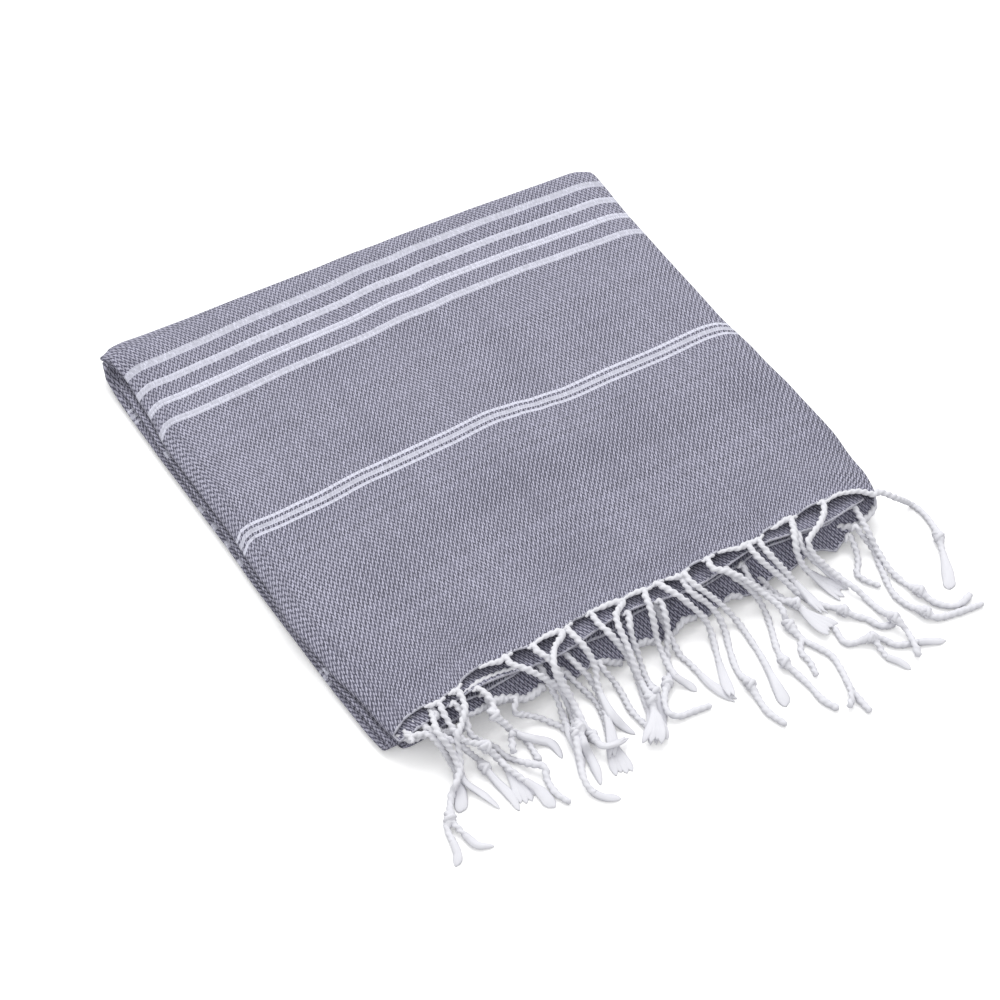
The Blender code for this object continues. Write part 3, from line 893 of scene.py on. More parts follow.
# The fringe: warp ends twisted two-ply and knotted. Sizes in mm.
yarn = {
    "radius": 1.55,
    "gatherRadius": 0.8,    # where a strand starts to collect its warp ends
    "startShare": 0.5,      # and its very first ring, as a share of that
    "step": 1.2,            # between the points of a strand's line
    "lobe": 0.38,           # how far the two plies stand apart, as a share of the radius
    "wornLobe": 0.22,       # the same where the twist has matted towards the end
    "wornFrom": 26.0,       # length at which the matting starts, and over which it grows
    "wornOver": 40.0,
    "uneven": 0.22,         # how much the thickness varies, and over how many features per mm
    "unevenScale": 0.3,
    "twist": 6.2,           # length of one full turn
    "endRound": 1.3,        # length over which a cut end is rounded, down to a share of its radius
    "endLeast": 0.2,
    "ring": 0.66,
    "sides": 12,
    "knotRadius": 2.5,
    "knotSpan": 2.8,
    "knotRise": 4.5,        # length of strand that the knot lifts off the floor
    "wrapRadius": 1.95,     # the turns of cord that tie the knot
    "wrapCord": 1.15,
    "wrapSides": 8,
    "wrapLobe": 0.2,
    "wrapTilt": 34.0,
    "wrapSteps": 16,
    "wrapSwing": 0.5,       # how far a turn shifts along the strand
    "wrapApart": 0.9,
    "wrapOut": 0.6,         # share of a turn's radius that stands out of the knot
    "rootSpan": (-121, 123),    # places across where a strand may leave its hem
    "hemAhead": 0.5,        # how far in front of the hem's edge its yarns lie
    "gatherStep": 2.5,
    "gatherOut": (0.0, -0.3, 0.5),
    "sideMargin": 1.0,
    "rootGap": 2.0,         # least distance of a line's own points from its root
    "shortGather": 3.0,     # length of hem that a strand of the lower layers gathers
    "floorGap": 0.05,       # least height of the yarn over the floor
    "fall": 16.0,           # distance in front of the pack in which a strand reaches the floor
    "searchSteps": 26,
    "lip": 127.5,           # front of the lower hems
    "stack": 2.6,           # height of one strand laid over another
    "mostLift": 5.0,
    "hump": 9.0,            # length over which it rises for that
    "joinAt": 3,            # points after which a fork or a side gather has joined its strand
    "sideGather": 3.5,      # length of hem that the top strands gather from their right
}

# The loose ends, where the yarn has come untwisted: their locks and how far those spread, each
# lock's half width and height, where it is widest and how much it narrows from there
tailForms = {
    "leaf": {"locks": 1, "spread": 0.0, "wide": 2.1, "high": 1.4, "peak": 0.6, "taper": 0.4,
             "tips": 0, "length": 23.0},
    "ribbon": {"locks": 1, "spread": 0.0, "wide": 1.8, "high": 1.4, "peak": 0.4, "taper": 0.35,
               "tips": 0, "length": 20.0},
    "brush": {"locks": 2, "spread": 6.0, "wide": 1.8, "high": 1.3, "peak": 0.6, "taper": 0.4,
              "tips": 1, "length": 18.0},
    "fan": {"locks": 4, "spread": 8.0, "wide": 1.9, "high": 1.2, "peak": 0.7, "taper": 0.3,
            "tips": 0, "length": 18.0},
    "paddle": {"locks": 1, "spread": 0.0, "wide": 2.7, "high": 1.5, "peak": 0.7, "taper": 0.0,
               "tips": 0, "length": 19.0},
    "blunt": {"locks": 1, "spread": 0.0, "wide": 1.8, "high": 1.3, "peak": 0.7, "taper": 0.3,
              "tips": 0, "length": 11.0},
}
lock = {
    "sides": 16,
    "ring": 0.75,
    "ribs": 5,
    "ribDepth": 0.07,
    "ribTurn": 2.0,         # how far the ribs turn along it
    "ragged": 0.4,          # unevenness of the cut end, and its features round it
    "raggedScale": 2.2,
    "uneven": 0.16,         # unevenness of its width, and its features along it
    "unevenScale": 6.0,
    "slant": 0.35,          # how far one side is longer than the other, at a given half width
    "slantWidth": 2.6,
    "settle": 2.0,          # how soon it lies as high as it is thick
    "thin": 0.8,            # how much thinner it is at its end
    "endFrom": 0.82,        # share of its length from which its end is rounded off
    "endRound": 0.95,
    "shorter": 0.24,        # most that one lock of a tail is cut shorter than the next
    "leastPoints": 3,
    "turnOver": 4,          # points over which it turns away from its neighbours
    "share": 0.6,           # most of a strand that may be loose
}

# single yarns that stick out of a lock's end: where they start, how far they lie apart and reach
tips = {"from": 0.72, "radius": 0.45, "end": 0.3, "sides": 5, "reach": 1.5, "least": 0.6,
        "spread": 0.6, "uneven": 0.4, "splay": 0.35}

# each strand's noise is its own: the seeds start here and these steps keep them apart
seeds = {"strand": 1.0, "hemCord": 60.0, "fork": 0.37, "lock": 1.7}

# Cords of gathered warp ends that show at the hems of the lower layers, as photo pixels: they lie
# on the hem's own edge, or in front of it.
hemCords = [
    {"layer": 3, "thick": 1.3,
     "line": [(391, 731), (400, 737), (409, 739), (420, 736), (433, 732), (445, 733),
              (455, 735)]},
    {"layer": 3, "thick": 1.0,
     "line": [(408, 721), (418, 727), (430, 732), (443, 735), (456, 732), (468, 726)]},
    {"layer": 1, "thick": 0.75,
     "line": [(462, 694), (470, 688), (480, 681), (494, 675), (505, 671), (516, 669)]},
    {"layer": 3, "onHem": True, "thick": 1.35,
     "line": [(466, 716), (478, 715), (490, 711), (502, 705), (514, 701), (526, 698),
              (538, 693), (549, 690)]},
    {"layer": 3, "onHem": True, "thick": 1.1,
     "line": [(598, 664), (605, 659), (614, 661), (623, 667)]},
    {"layer": 3, "onHem": True, "thick": 1.3,
     "line": [(636, 647), (645, 644), (656, 646)]},
    {"layer": 3, "onHem": True, "thick": 1.1,
     "line": [(668, 634), (676, 627), (686, 622), (697, 621)]},
    {"layer": 3, "onHem": True, "thick": 1.0,
     "line": [(722, 602), (732, 597), (742, 597)]},
    {"layer": 3, "thick": 1.1,
     "line": [(873, 496), (875, 504), (871, 513), (864, 520), (853, 526), (840, 527),
              (826, 525)]},
]

# Each strand: the layer of its hem, how much hem it gathers from its left, and its visible line
# as photo pixels. A knot is a point of that line, and forks are further tails.
fringeStrands = [
    {"layer": 3, "gather": 3, "tail": "paddle",
     "line": [(404, 731), (413, 735), (426, 733), (437, 740), (446, 753), (454, 768),
              (459, 784), (461, 799), (460, 813)]},
    {"layer": 2, "gather": 4, "knot": 8, "tail": "leaf",
     "line": [(410, 718), (422, 725), (434, 731), (446, 737), (457, 741), (466, 748),
              (478, 760), (481, 764), (485, 770), (496, 781), (511, 796), (520, 811)]},
    {"layer": 1, "gather": 8, "tail": "leaf",
     "line": [(430, 708), (433, 718), (437, 730), (446, 741), (455, 755), (460, 770),
              (467, 783), (483, 794), (502, 808)]},
    {"layer": 0, "gather": 6, "knot": 6, "tail": "fan",
     "line": [(438, 703), (443, 712), (450, 724), (457, 733), (465, 739), (473, 742),
              (481, 745), (493, 753), (506, 767), (519, 783), (530, 800)],
     "forks": [{"tail": "paddle", "line": [(500, 758), (518, 775), (540, 791), (557, 810)]}]},
    {"layer": 0, "gather": 4, "knot": 9, "tail": "blunt",
     "line": [(462, 697), (465, 710), (462, 722), (458, 734), (459, 748), (461, 762),
              (458, 777), (452, 793), (450, 808), (450, 820), (447, 829), (453, 842),
              (458, 855), (456, 867)],
     "forks": [{"tail": "ribbon", "line": [(460, 824), (467, 837), (478, 845), (494, 844)]}]},
    {"layer": 1, "gather": 6, "tail": "end",
     "line": [(466, 720), (470, 732), (480, 740), (493, 746), (509, 758), (529, 763),
              (544, 766), (547, 779), (556, 793), (571, 803)]},
    {"layer": 1, "gather": 8, "knot": 4, "tail": "leaf",
     "line": [(479, 690), (488, 696), (493, 704), (493, 711), (495, 717), (506, 724),
              (519, 734), (537, 739), (552, 743), (564, 758)],
     "forks": [{"tail": "end", "line": [(509, 725), (511, 735), (514, 753)]}]},
    {"layer": 2, "gather": 8, "tail": "end",
     "line": [(497, 716), (505, 724), (514, 733), (526, 741), (534, 752), (540, 762)]},
    {"layer": 3, "gather": 6, "tail": "end",
     "line": [(515, 712), (527, 715), (540, 718), (552, 723), (563, 728), (572, 738)]},
    {"layer": 0, "gather": 12, "knot": 8, "tail": "blunt",
     "line": [(511, 664), (524, 668), (537, 674), (549, 681), (559, 688), (566, 700),
              (571, 714), (575, 729), (577, 744), (580, 760), (583, 776), (591, 790),
              (604, 797), (621, 796)]},
    {"layer": 2, "gather": 26, "tail": "leaf",
     "line": [(556, 697), (561, 711), (566, 724), (571, 737), (578, 749), (581, 763),
              (581, 776)]},
    {"layer": 0, "gather": 3, "knot": 7, "tail": "leaf",
     "line": [(537, 651), (548, 658), (556, 668), (563, 682), (571, 697), (575, 712),
              (578, 726), (582, 738), (588, 752), (596, 768), (602, 785)]},
    {"layer": 0, "gather": 13, "knot": 8, "tail": "brush",
     "line": [(562, 636), (555, 646), (553, 658), (556, 671), (562, 684), (570, 697),
              (577, 710), (584, 724), (591, 737), (602, 745), (616, 741), (627, 735)]},
    {"layer": 0, "gather": 2, "tail": "leaf",
     "line": [(570, 632), (582, 644), (591, 657), (596, 670), (597, 683), (603, 699),
              (612, 714), (624, 726), (638, 733)]},
    {"layer": 2, "gather": 6, "tail": "brush",
     "line": [(562, 652), (575, 663), (588, 676), (597, 691), (603, 706), (608, 722),
              (612, 740), (612, 756)]},
    {"layer": 3, "gather": 6, "tail": "fan",
     "line": [(562, 670), (574, 681), (586, 692), (597, 704), (605, 720), (609, 738),
              (616, 755), (626, 774)]},
    {"layer": 0, "gather": 3, "tail": "fan",
     "line": [(597, 622), (609, 633), (620, 645), (629, 659), (636, 674), (641, 690),
              (647, 706), (655, 722), (660, 741)]},
    {"layer": 3, "gather": 8, "tail": "blunt",
     "line": [(601, 666), (612, 679), (622, 694), (630, 709), (642, 722), (656, 731),
              (671, 737)]},
    {"layer": 0, "gather": 17, "knot": 8, "tail": "fan",
     "line": [(622, 605), (616, 614), (619, 627), (625, 640), (630, 653), (635, 668),
              (641, 682), (646, 692), (651, 703), (655, 722), (652, 741)]},
    {"layer": 1, "gather": 10, "knot": 6, "tail": "brush",
     "line": [(628, 614), (630, 626), (633, 639), (638, 653), (642, 667), (647, 680),
              (653, 692), (660, 706), (664, 722)]},
    {"layer": 0, "gather": 9, "tail": "blunt",
     "line": [(645, 595), (650, 607), (654, 622), (657, 638), (662, 653), (669, 667),
              (677, 677), (687, 683), (697, 689)]},
    {"layer": 1, "gather": 8, "knot": 6, "tail": "end",
     "line": [(660, 598), (665, 614), (668, 632), (667, 648), (668, 662), (670, 674),
              (667, 686), (664, 699), (668, 712), (680, 716), (694, 711), (712, 705)]},
    {"layer": 0, "gather": 3, "tail": "brush",
     "line": [(658, 587), (669, 590), (682, 598), (695, 609), (705, 619), (711, 632),
              (715, 647), (719, 662), (724, 677), (731, 693)]},
    {"layer": 2, "gather": 6, "tail": "brush",
     "line": [(678, 652), (687, 661), (697, 671), (708, 682), (722, 691), (737, 699)]},
    {"layer": 0, "gather": 7, "knot": 7, "tail": "end",
     "line": [(690, 591), (706, 602), (718, 615), (725, 631), (729, 647), (734, 663),
              (740, 675), (749, 685), (759, 700), (769, 713), (787, 725)]},
    {"layer": 0, "gather": 3, "tail": "paddle",
     "line": [(690, 581), (704, 591), (721, 604), (737, 621), (750, 639), (761, 656),
              (769, 671), (777, 686), (787, 704)]},
    {"layer": 0, "gather": 3, "knot": 6, "tail": "end",
     "line": [(712, 568), (725, 571), (739, 576), (755, 587), (769, 598), (780, 608),
              (788, 626), (804, 640), (819, 648), (832, 656), (842, 671), (851, 689),
              (860, 700), (871, 712)],
     "forks": [{"tail": "end", "line": [(797, 641), (801, 652), (810, 662), (817, 676)]},
               {"tail": "end", "line": [(848, 684), (851, 697), (849, 708)]}]},
    {"layer": 1, "gather": 10, "knot": 6, "tail": "end",
     "line": [(734, 577), (745, 584), (757, 597), (765, 611), (771, 628), (776, 646),
              (784, 664), (796, 673), (810, 686), (823, 700), (839, 709)]},
    {"layer": 2, "gather": 8, "knot": 4, "tail": "fan",
     "line": [(744, 567), (752, 582), (768, 593), (782, 602), (794, 605), (806, 614),
              (820, 622), (836, 628)]},
    {"layer": 3, "gather": 8, "knot": 6, "tail": "blunt",
     "line": [(757, 577), (776, 594), (797, 607), (818, 618), (834, 628), (846, 643),
              (871, 640), (884, 640), (897, 645), (921, 642), (946, 639)],
     "forks": [{"tail": "blunt", "line": [(876, 649), (886, 656), (899, 661), (914, 668)]}]},
    {"layer": 0, "gather": 14, "knot": 6, "tail": "end",
     "line": [(750, 548), (762, 561), (781, 577), (803, 597), (821, 605), (831, 608),
              (841, 612), (853, 616), (867, 619), (881, 626), (896, 624)]},
    {"layer": 0, "gather": 6, "tail": "brush",
     "line": [(763, 547), (773, 558), (786, 572), (800, 588), (814, 602), (825, 612)]},
    {"layer": 0, "gather": 11, "tail": "fan",
     "line": [(793, 526), (795, 540), (798, 555), (805, 568), (817, 578), (831, 586),
              (845, 593)]},
    {"layer": 1, "gather": 8, "tail": "brush",
     "line": [(801, 545), (811, 557), (823, 568), (836, 577), (849, 586)]},
    {"layer": 0, "gather": 3, "knot": 10, "tail": "end",
     "line": [(824, 511), (820, 523), (813, 533), (808, 542), (814, 555), (825, 566),
              (840, 578), (857, 590), (870, 602), (883, 613), (895, 621), (905, 629),
              (912, 641), (919, 657)]},
    {"layer": 0, "gather": 24, "knot": 5, "tail": "paddle",
     "line": [(883, 494), (897, 498), (911, 504), (924, 514), (933, 526), (938, 538),
              (943, 554), (947, 569), (951, 587)]},
    {"layer": 3, "gather": 8, "tail": "end",
     "line": [(851, 536), (856, 550), (858, 563), (857, 574), (867, 581), (881, 586)]},
    {"layer": 3, "gather": 10, "knot": 6, "tail": "end",
     "line": [(859, 532), (867, 541), (874, 552), (883, 573), (893, 593), (907, 605),
              (925, 614), (936, 618), (956, 613), (984, 603)]},
    {"layer": 2, "gather": 8, "knot": 5, "tail": "end",
     "line": [(866, 528), (873, 543), (880, 556), (890, 570), (905, 584), (919, 593),
              (936, 603), (952, 606), (963, 602), (971, 593)]},
]


def hemPlace(planX, layer):
    # a point of a layer's hem edge, a little in front of the cloth
    across = planX / cloth["hemNarrowing"]
    column = station(across, layerUp[layer], 1.0, 0.0, only(4, layer), 0.0)
    row = station(-halfDepth, panelUp[0], 1.0, 0.0, only(3, 0), 0.0)
    return foldedPlace(column, row) + Vector((0.0, -yarn["hemAhead"], 0.0))


def frontGap(place):
    # how far a place is in front of the pack, or beside it
    lip = -yarn["lip"] * (1.0 - cloth["depthTaper"] * place.x / halfWidth)
    beside = abs(place.x) - halfWidth + yarn["sideMargin"]
    return max(lip - place.y, beside)


def strandPlace(pixel, high, rest):
    # a point of a falling strand: on the line of sight, at the height that it has fallen to
    low, top = rest, high
    for _ in range(yarn["searchSteps"]):
        middle = (low + top) / 2
        gone = ease(frontGap(photoPlace(pixel, middle)) / yarn["fall"])
        if lerp(high, rest, gone) > middle:
            low = middle
        else:
            top = middle
    return photoPlace(pixel, middle)


def smoothLine(points):
    # evenly spaced points on a smooth curve through the given ones
    padded = [points[0] * 2 - points[1], *points, points[-1] * 2 - points[-2]]
    fine = []
    for before, start, end, after in zip(padded, padded[1:], padded[2:], padded[3:]):
        for t in (0.0, 0.125, 0.25, 0.375, 0.5, 0.625, 0.75, 0.875):
            fine.append(0.5 * (2 * start + (end - before) * t
                               + (2 * before - 5 * start + 4 * end - after) * t * t
                               + (3 * start - before - 3 * end + after) * t ** 3))
    fine.append(points[-1].copy())
    return evenLine(fine, yarn["step"])


def evenLine(points, step):
    # the same line with points at about even steps
    total = sum((b - a).length for a, b in zip(points, points[1:]))
    count = max(2, round(total / step))
    line = [points[0].copy()]
    gone = 0.0
    for a, b in zip(points, points[1:]):
        length = (b - a).length
        while len(line) < count and gone + length >= total * len(line) / count:
            part = (total * len(line) / count - gone) / max(length, 1e-9)
            line.append(a.lerp(b, part))
        gone += length
    line.append(points[-1].copy())
    return line


def hemRoot(pixel, layer):
    # the place along a layer's hem that shows nearest to a photo pixel
    seen = Vector(pixel)
    places = range(*yarn["rootSpan"])
    return min(places, key=lambda x: (photoPixel(hemPlace(x, layer)) - seen).length)


def gatherLine(root, layer, gather):
    # along the hem, from one side up to a strand's root
    count = max(2, round(abs(gather) / yarn["gatherStep"]))
    starts = [root - gather * (1.0 - i / count) for i in range(count + 1)]
    out = Vector(yarn["gatherOut"])
    inside = halfWidth - yarn["sideMargin"]
    return [hemPlace(x, layer) + out for x in starts if abs(x) < inside]


def nearest(line, place):
    return min(range(len(line)), key=lambda i: (line[i] - place).length)


def liftOver(line, laid, firstFree):
    # raise a line where it crosses strands that are laid already, in long low humps.
    # It moves along the line of sight, so that it stays where it shows
    need = [0.0] * len(line)
    reach = 2 * yarn["radius"]
    for i, place in enumerate(line):
        if i < firstFree:
            continue
        for other in laid:
            away = math.hypot(place.x - other.x, place.y - other.y)
            if away < reach:
                over = other.z + yarn["stack"] * math.sqrt(1.0 - (away / reach) ** 2)
                need[i] = max(need[i], min(over - place.z, yarn["mostLift"]))
    step = (line[1] - line[0]).length
    span = max(1, round(yarn["hump"] / step))
    raised = []
    for i, place in enumerate(line):
        nearby = range(max(0, i - span), min(len(line), i + span + 1))
        lift = max(need[j] * ease(1.0 - abs(i - j) / span) for j in nearby)
        raised.append(place + viewBack * (lift / viewBack.z))
    return raised


def strandCentre(strand, root, laid):
    # the centre line of a strand, and where its knot comes on it
    gather = strand["gather"] if strand["layer"] == 0 else yarn["shortGather"]
    gathered = gatherLine(root, strand["layer"], gather)
    high = gathered[-1].z
    places = [strandPlace(pixel, high, yarn["radius"]) for pixel in strand["line"]]
    clear = [place for place in places if (place - gathered[-1]).length > yarn["rootGap"]]
    line = smoothLine(gathered + clear)
    firstFree = nearest(line, gathered[-1])
    line = liftOver(line, laid, firstFree)
    knotAt = None
    if "knot" in strand:
        knotAt = nearest(line, places[strand["knot"]])
        rise = yarn["knotRadius"] + yarn["wrapCord"] * yarn["wrapOut"] - yarn["radius"]
        for i, place in enumerate(line):
            away = (i - knotAt) * yarn["step"] / yarn["knotRise"]
            place.z += rise * math.exp(-away ** 2)
    return line, knotAt, firstFree


def frameAlong(line):
    # a side and an up direction at each point, carried along without twist
    frames = []
    up = Vector((0.0, 0.0, 1.0))
    for i in range(len(line)):
        along = (line[min(i + 1, len(line) - 1)] - line[max(i - 1, 0)]).normalized()
        side = along.cross(up)
        if side.length < 1e-4:
            side = along.cross(Vector((0.0, 1.0, 0.0)))
        side.normalize()
        up = side.cross(along).normalized()
        frames.append((side, up))
    return frames


def rollTube(shape, last, sides, placeAt):
    # a grid rolled into a tube. placeAt gives a point round a ring, and how far round the yarn
    # and along it that is
    uv = shape.loops.layers.uv.verify()
    grid = bmesh.ops.create_grid(shape, x_segments=last, y_segments=sides, size=0.5)
    wraps = {}
    for vert in grid["verts"]:
        i = round((vert.co.x + 0.5) * last)
        angle = 2.0 * math.pi * round((vert.co.y + 0.5) * sides) / sides
        place, wrap, length = placeAt(i, angle)
        vert.co = place * mm
        wraps[vert] = (wrap * mm, length * mm)
    for face in {face for vert in grid["verts"] for face in vert.link_faces}:
        for loop in face.loops:
            loop[uv].uv = wraps[loop.vert]
    bmesh.ops.remove_doubles(shape, verts=grid["verts"], dist=1e-7)


def addTube(shape, line, radii, turns, lobes, sides):
    # a cord through a line, whose rings have two lobes that turn along it
    frames = frameAlong(line)
    lengths = [0.0]
    for a, b in zip(line, line[1:]):
        lengths.append(lengths[-1] + (b - a).length)

    def placeAt(i, angle):
        across = math.cos(angle - turns[i])
        lobe = lobes[i]
        half = 1.0 - lobe
        reach = lobe * abs(across)
        reach += math.sqrt(max(half * half - lobe * lobe * (1.0 - across * across), 0.0))
        side, up = frames[i]
        spread = (side * math.cos(angle) + up * math.sin(angle)) * radii[i] * reach
        return line[i] + spread, angle * yarn["radius"], lengths[i]

    rollTube(shape, len(line) - 1, sides, placeAt)


def roundEnd(away):
    # the share of its radius that a cord keeps at a distance from its end
    left = 1.0 - min(away / yarn["endRound"], 1.0)
    return lerp(yarn["endLeast"], 1.0, math.sqrt(1.0 - left * left))


def addCord(shape, line, firstFree, knotAt, seed, thick=1.0, loose=False):
    # the twisted cord of a strand, thin where it starts to gather, thick at its knot
    fine = evenLine(line, yarn["ring"])
    scale = (len(fine) - 1) / (len(line) - 1)
    radii = []
    turns = []
    lobes = []
    for i in range(len(fine)):
        gone = i * yarn["ring"]
        gathered = ease(i / (firstFree * scale)) if firstFree > 0 else 1.0
        radius = lerp(yarn["gatherRadius"], yarn["radius"], gathered)
        spot = Vector((seed * 3.1, gone * yarn["unevenScale"], 0.5))
        radius *= 1.0 + yarn["uneven"] * noise.noise(spot)
        if knotAt is not None:
            away = (gone - knotAt * scale * yarn["ring"]) / yarn["knotSpan"]
            radius += (yarn["knotRadius"] - yarn["radius"]) * math.exp(-away * away)
        left = (len(fine) - 1 - i) * yarn["ring"]
        radii.append(radius * thick * (1.0 if loose else roundEnd(left)))
        turns.append(2.0 * math.pi * gone / yarn["twist"])
        worn = ease((gone - yarn["wornFrom"]) / yarn["wornOver"])
        lobes.append(lerp(yarn["lobe"], yarn["wornLobe"], worn))
    radii[0] *= yarn["startShare"]
    addTube(shape, fine, radii, turns, lobes, yarn["sides"])


def addKnotWrap(shape, place, along, tilt):
    # one turn of cord round the knot
    side = along.cross(Vector((0.0, 0.0, 1.0))).normalized()
    up = side.cross(along).normalized()
    lean = math.radians(tilt)
    axis = along * math.cos(lean) + side * math.sin(lean)
    across = side * math.cos(lean) - along * math.sin(lean)
    count = yarn["wrapSteps"]
    turns = [2.0 * math.pi * i / count for i in range(count + 1)]
    ring = []
    for angle in turns:
        out = across * math.cos(angle) + up * math.sin(angle)
        shift = axis * yarn["wrapSwing"] * math.sin(angle)
        ring.append(place + out * yarn["wrapRadius"] + shift)
    radii = [yarn["wrapCord"]] * (count + 1)
    lobes = [yarn["wrapLobe"]] * (count + 1)
    addTube(shape, ring, radii, turns, lobes, yarn["wrapSides"])


def turnedLine(line, degrees, shorter):
    # a tail's line, turned in plan about its start and cut shorter
    turn = math.radians(degrees)
    start = line[0]
    kept = line[: max(lock["leastPoints"], round(len(line) * (1.0 - shorter)))]
    turned = []
    for i, place in enumerate(kept):
        away = place - start
        part = ease(i / lock["turnOver"])
        x = away.x * math.cos(turn * part) - away.y * math.sin(turn * part)
        y = away.x * math.sin(turn * part) + away.y * math.cos(turn * part)
        turned.append(Vector((start.x + x, start.y + y, place.z)))
    return turned


def addLock(shape, line, form, seed):
    # one lock of untwisted yarns: a soft flat body with ribs, and single yarns at its end
    settings = tailForms[form]
    fine = evenLine(line, lock["ring"])
    frames = frameAlong(fine)
    last = len(fine) - 1
    slant = math.copysign(lock["slant"], math.sin(seed * 2.7))
    slant *= settings["wide"] / lock["slantWidth"]

    def placeAt(i, angle):
        place, half = lockPlace(settings, fine[i], frames[i], i / last, angle, slant, seed)
        return place, angle * half, i * lock["ring"]

    rollTube(shape, last, lock["sides"], placeAt)
    addTips(shape, fine, settings, seed)


def lockPlace(settings, middle, axes, part, angle, slant, seed):
    # a point round a lock at a share of its length, and the half width there
    side, up = axes
    half, high = lockSize(settings, part)
    spot = Vector((seed * 1.7, part * lock["unevenScale"], 3.0))
    half *= 1.0 + lock["uneven"] * part * noise.noise(spot)
    rib = 1.0 + lock["ribDepth"] * math.cos(lock["ribs"] * angle + seed + lock["ribTurn"] * part)
    spot = Vector((seed, lock["raggedScale"] * math.cos(angle), 0.0))
    ragged = lock["ragged"] * noise.noise(spot) + slant * math.cos(angle)
    centre = middle.copy()
    centre.z = max(centre.z + (high - yarn["radius"]) * ease(part * lock["settle"]), high)
    place = centre + side * (math.cos(angle) * half * rib)
    place += Vector((0.0, 0.0, math.sin(angle) * high * rib))
    return place - side.cross(up) * (ragged * part ** 3), half


def lockSize(settings, part):
    # half width and half height of a lock, from its start to its end
    peak = settings["peak"]
    opened = ease(part / peak)
    closed = settings["taper"] * ease((part - peak) / (1.0 - peak))
    end = max(part - lock["endFrom"], 0.0) / (1.0 - lock["endFrom"])
    half = lerp(yarn["radius"], settings["wide"], opened) * (1.0 - closed)
    half *= math.sqrt(1.0 - lock["endRound"] * end * end)
    high = lerp(yarn["radius"], settings["high"], opened) * (1.0 - lock["thin"] * part ** 3)
    return half, high


def addTips(shape, line, settings, seed):
    frames = frameAlong(line)
    width = lockSize(settings, lock["endFrom"])[0] * tips["spread"]
    for k in range(settings["tips"]):
        lane = (k + 0.5) / settings["tips"] * 2.0 - 1.0
        lane += tips["uneven"] * noise.noise(Vector((seed, k, 2.0)))
        reach = tips["least"] + noise.noise(Vector((seed * 2.3, k * 1.9, 5.0)))
        tip = []
        for i in range(round(len(line) * tips["from"]), len(line)):
            place = line[i] + frames[i][0] * (lane * width)
            place.z = max(place.z - yarn["radius"], 0.0) + tips["radius"]
            tip.append(place)
        onward = (tip[-1] - tip[-2]).normalized() + frames[-1][0] * lane * tips["splay"]
        tip.append(tip[-1] + onward * (tips["reach"] * reach))
        fine = evenLine(tip, yarn["step"])
        radii = [tips["radius"]] * len(fine)
        radii[-1] *= tips["end"]
        plain = [0.0] * len(fine)
        addTube(shape, fine, radii, plain, plain, tips["sides"])


def addTail(shape, line, form, seed):
    # a loose end: its locks side by side
    settings = tailForms[form]
    for number in range(settings["locks"]):
        lane = number - (settings["locks"] - 1) / 2
        uneven = abs(noise.noise(Vector((seed * 1.3, number * 2.7, 1.0))))
        turned = turnedLine(line, lane * settings["spread"], lock["shorter"] * uneven)
        addLock(shape, turned, form, seed + seeds["lock"] * number)


def layEnd(shape, line, firstFree, knotAt, tail, seed):
    # a strand's cord, and its loose end where it has one
    if tail == "end":
        addCord(shape, line, firstFree, knotAt, seed)
        return
    body, loose = cutTail(line, tailForms[tail]["length"])
    addCord(shape, body, firstFree, knotAt, seed, loose=True)
    addTail(shape, loose, tail, seed)


def cutTail(line, length):
    # split a line at a distance from its end, with an overlap
    gone = 0.0
    index = len(line) - 1
    least = round(len(line) * (1.0 - lock["share"]))
    while index > least and gone < length:
        gone += (line[index] - line[index - 1]).length
        index -= 1
    return line[: index + 2], line[index:]


def layStrand(shape, strand, laid, seed):
    # a whole strand: its cord, its gathered ends, its knot and its forks
    root = hemRoot(strand["line"][0], strand["layer"])
    line, knotAt, firstFree = strandCentre(strand, root, laid)
    laid.extend(line[firstFree:])
    layEnd(shape, line, firstFree, knotAt, strand["tail"], seed)
    if strand["layer"] == 0:
        addSideGather(shape, root, line[firstFree:], seed)
    if knotAt is not None:
        knotAt = min(knotAt, len(line) - 2)
        along = (line[knotAt + 1] - line[knotAt - 1]).normalized()
        addKnotWrap(shape, line[knotAt], along, yarn["wrapTilt"])
        addKnotWrap(shape, line[knotAt] + along * yarn["wrapApart"], along, -yarn["wrapTilt"])
    for number, fork in enumerate(strand.get("forks", ())):
        layFork(shape, line, fork, laid, seed + seeds["fork"] * (number + 1))


def layFork(shape, line, fork, laid, seed):
    # a second end that leaves a strand's knot
    places = [photoPlace(pixel, yarn["radius"]) for pixel in fork["line"]]
    start = line[nearest(line, places[0])]
    branch = smoothLine([start, *places[1:]])
    branch = liftOver(branch, laid, yarn["joinAt"] + 1)
    laid.extend(branch[yarn["joinAt"]:])
    layEnd(shape, branch, 0, None, fork["tail"], seed)


def addSideGather(shape, root, free, seed):
    # the warp ends that a strand of the top hem collects from its right
    gathered = gatherLine(root, 0, -yarn["sideGather"])
    joined = free[yarn["joinAt"]: yarn["joinAt"] + 2]
    if len(gathered) > 1 and len(joined) == 2:
        line = smoothLine([*gathered, *joined])
        addCord(shape, line, len(line) - 1, None, seed)


def layHemCord(shape, cord, laid, seed):
    # warp ends gathered along the hem of a lower layer, over the first third of the cord
    places = []
    for pixel in cord["line"]:
        edge = hemPlace(hemRoot(pixel, cord["layer"]), cord["layer"])
        edge.z = max(edge.z, yarn["radius"])
        places.append(edge if cord.get("onHem") else photoPlace(pixel, edge.z))
    line = smoothLine(places)
    laid.extend(line)
    addCord(shape, line, len(line) / 3, None, seed, cord["thick"])


def restOnFloor(shape):
    # yarn that would dip into the floor lies flat on it
    for vert in shape.verts:
        vert.co.z = max(vert.co.z, yarn["floorGap"] * mm)


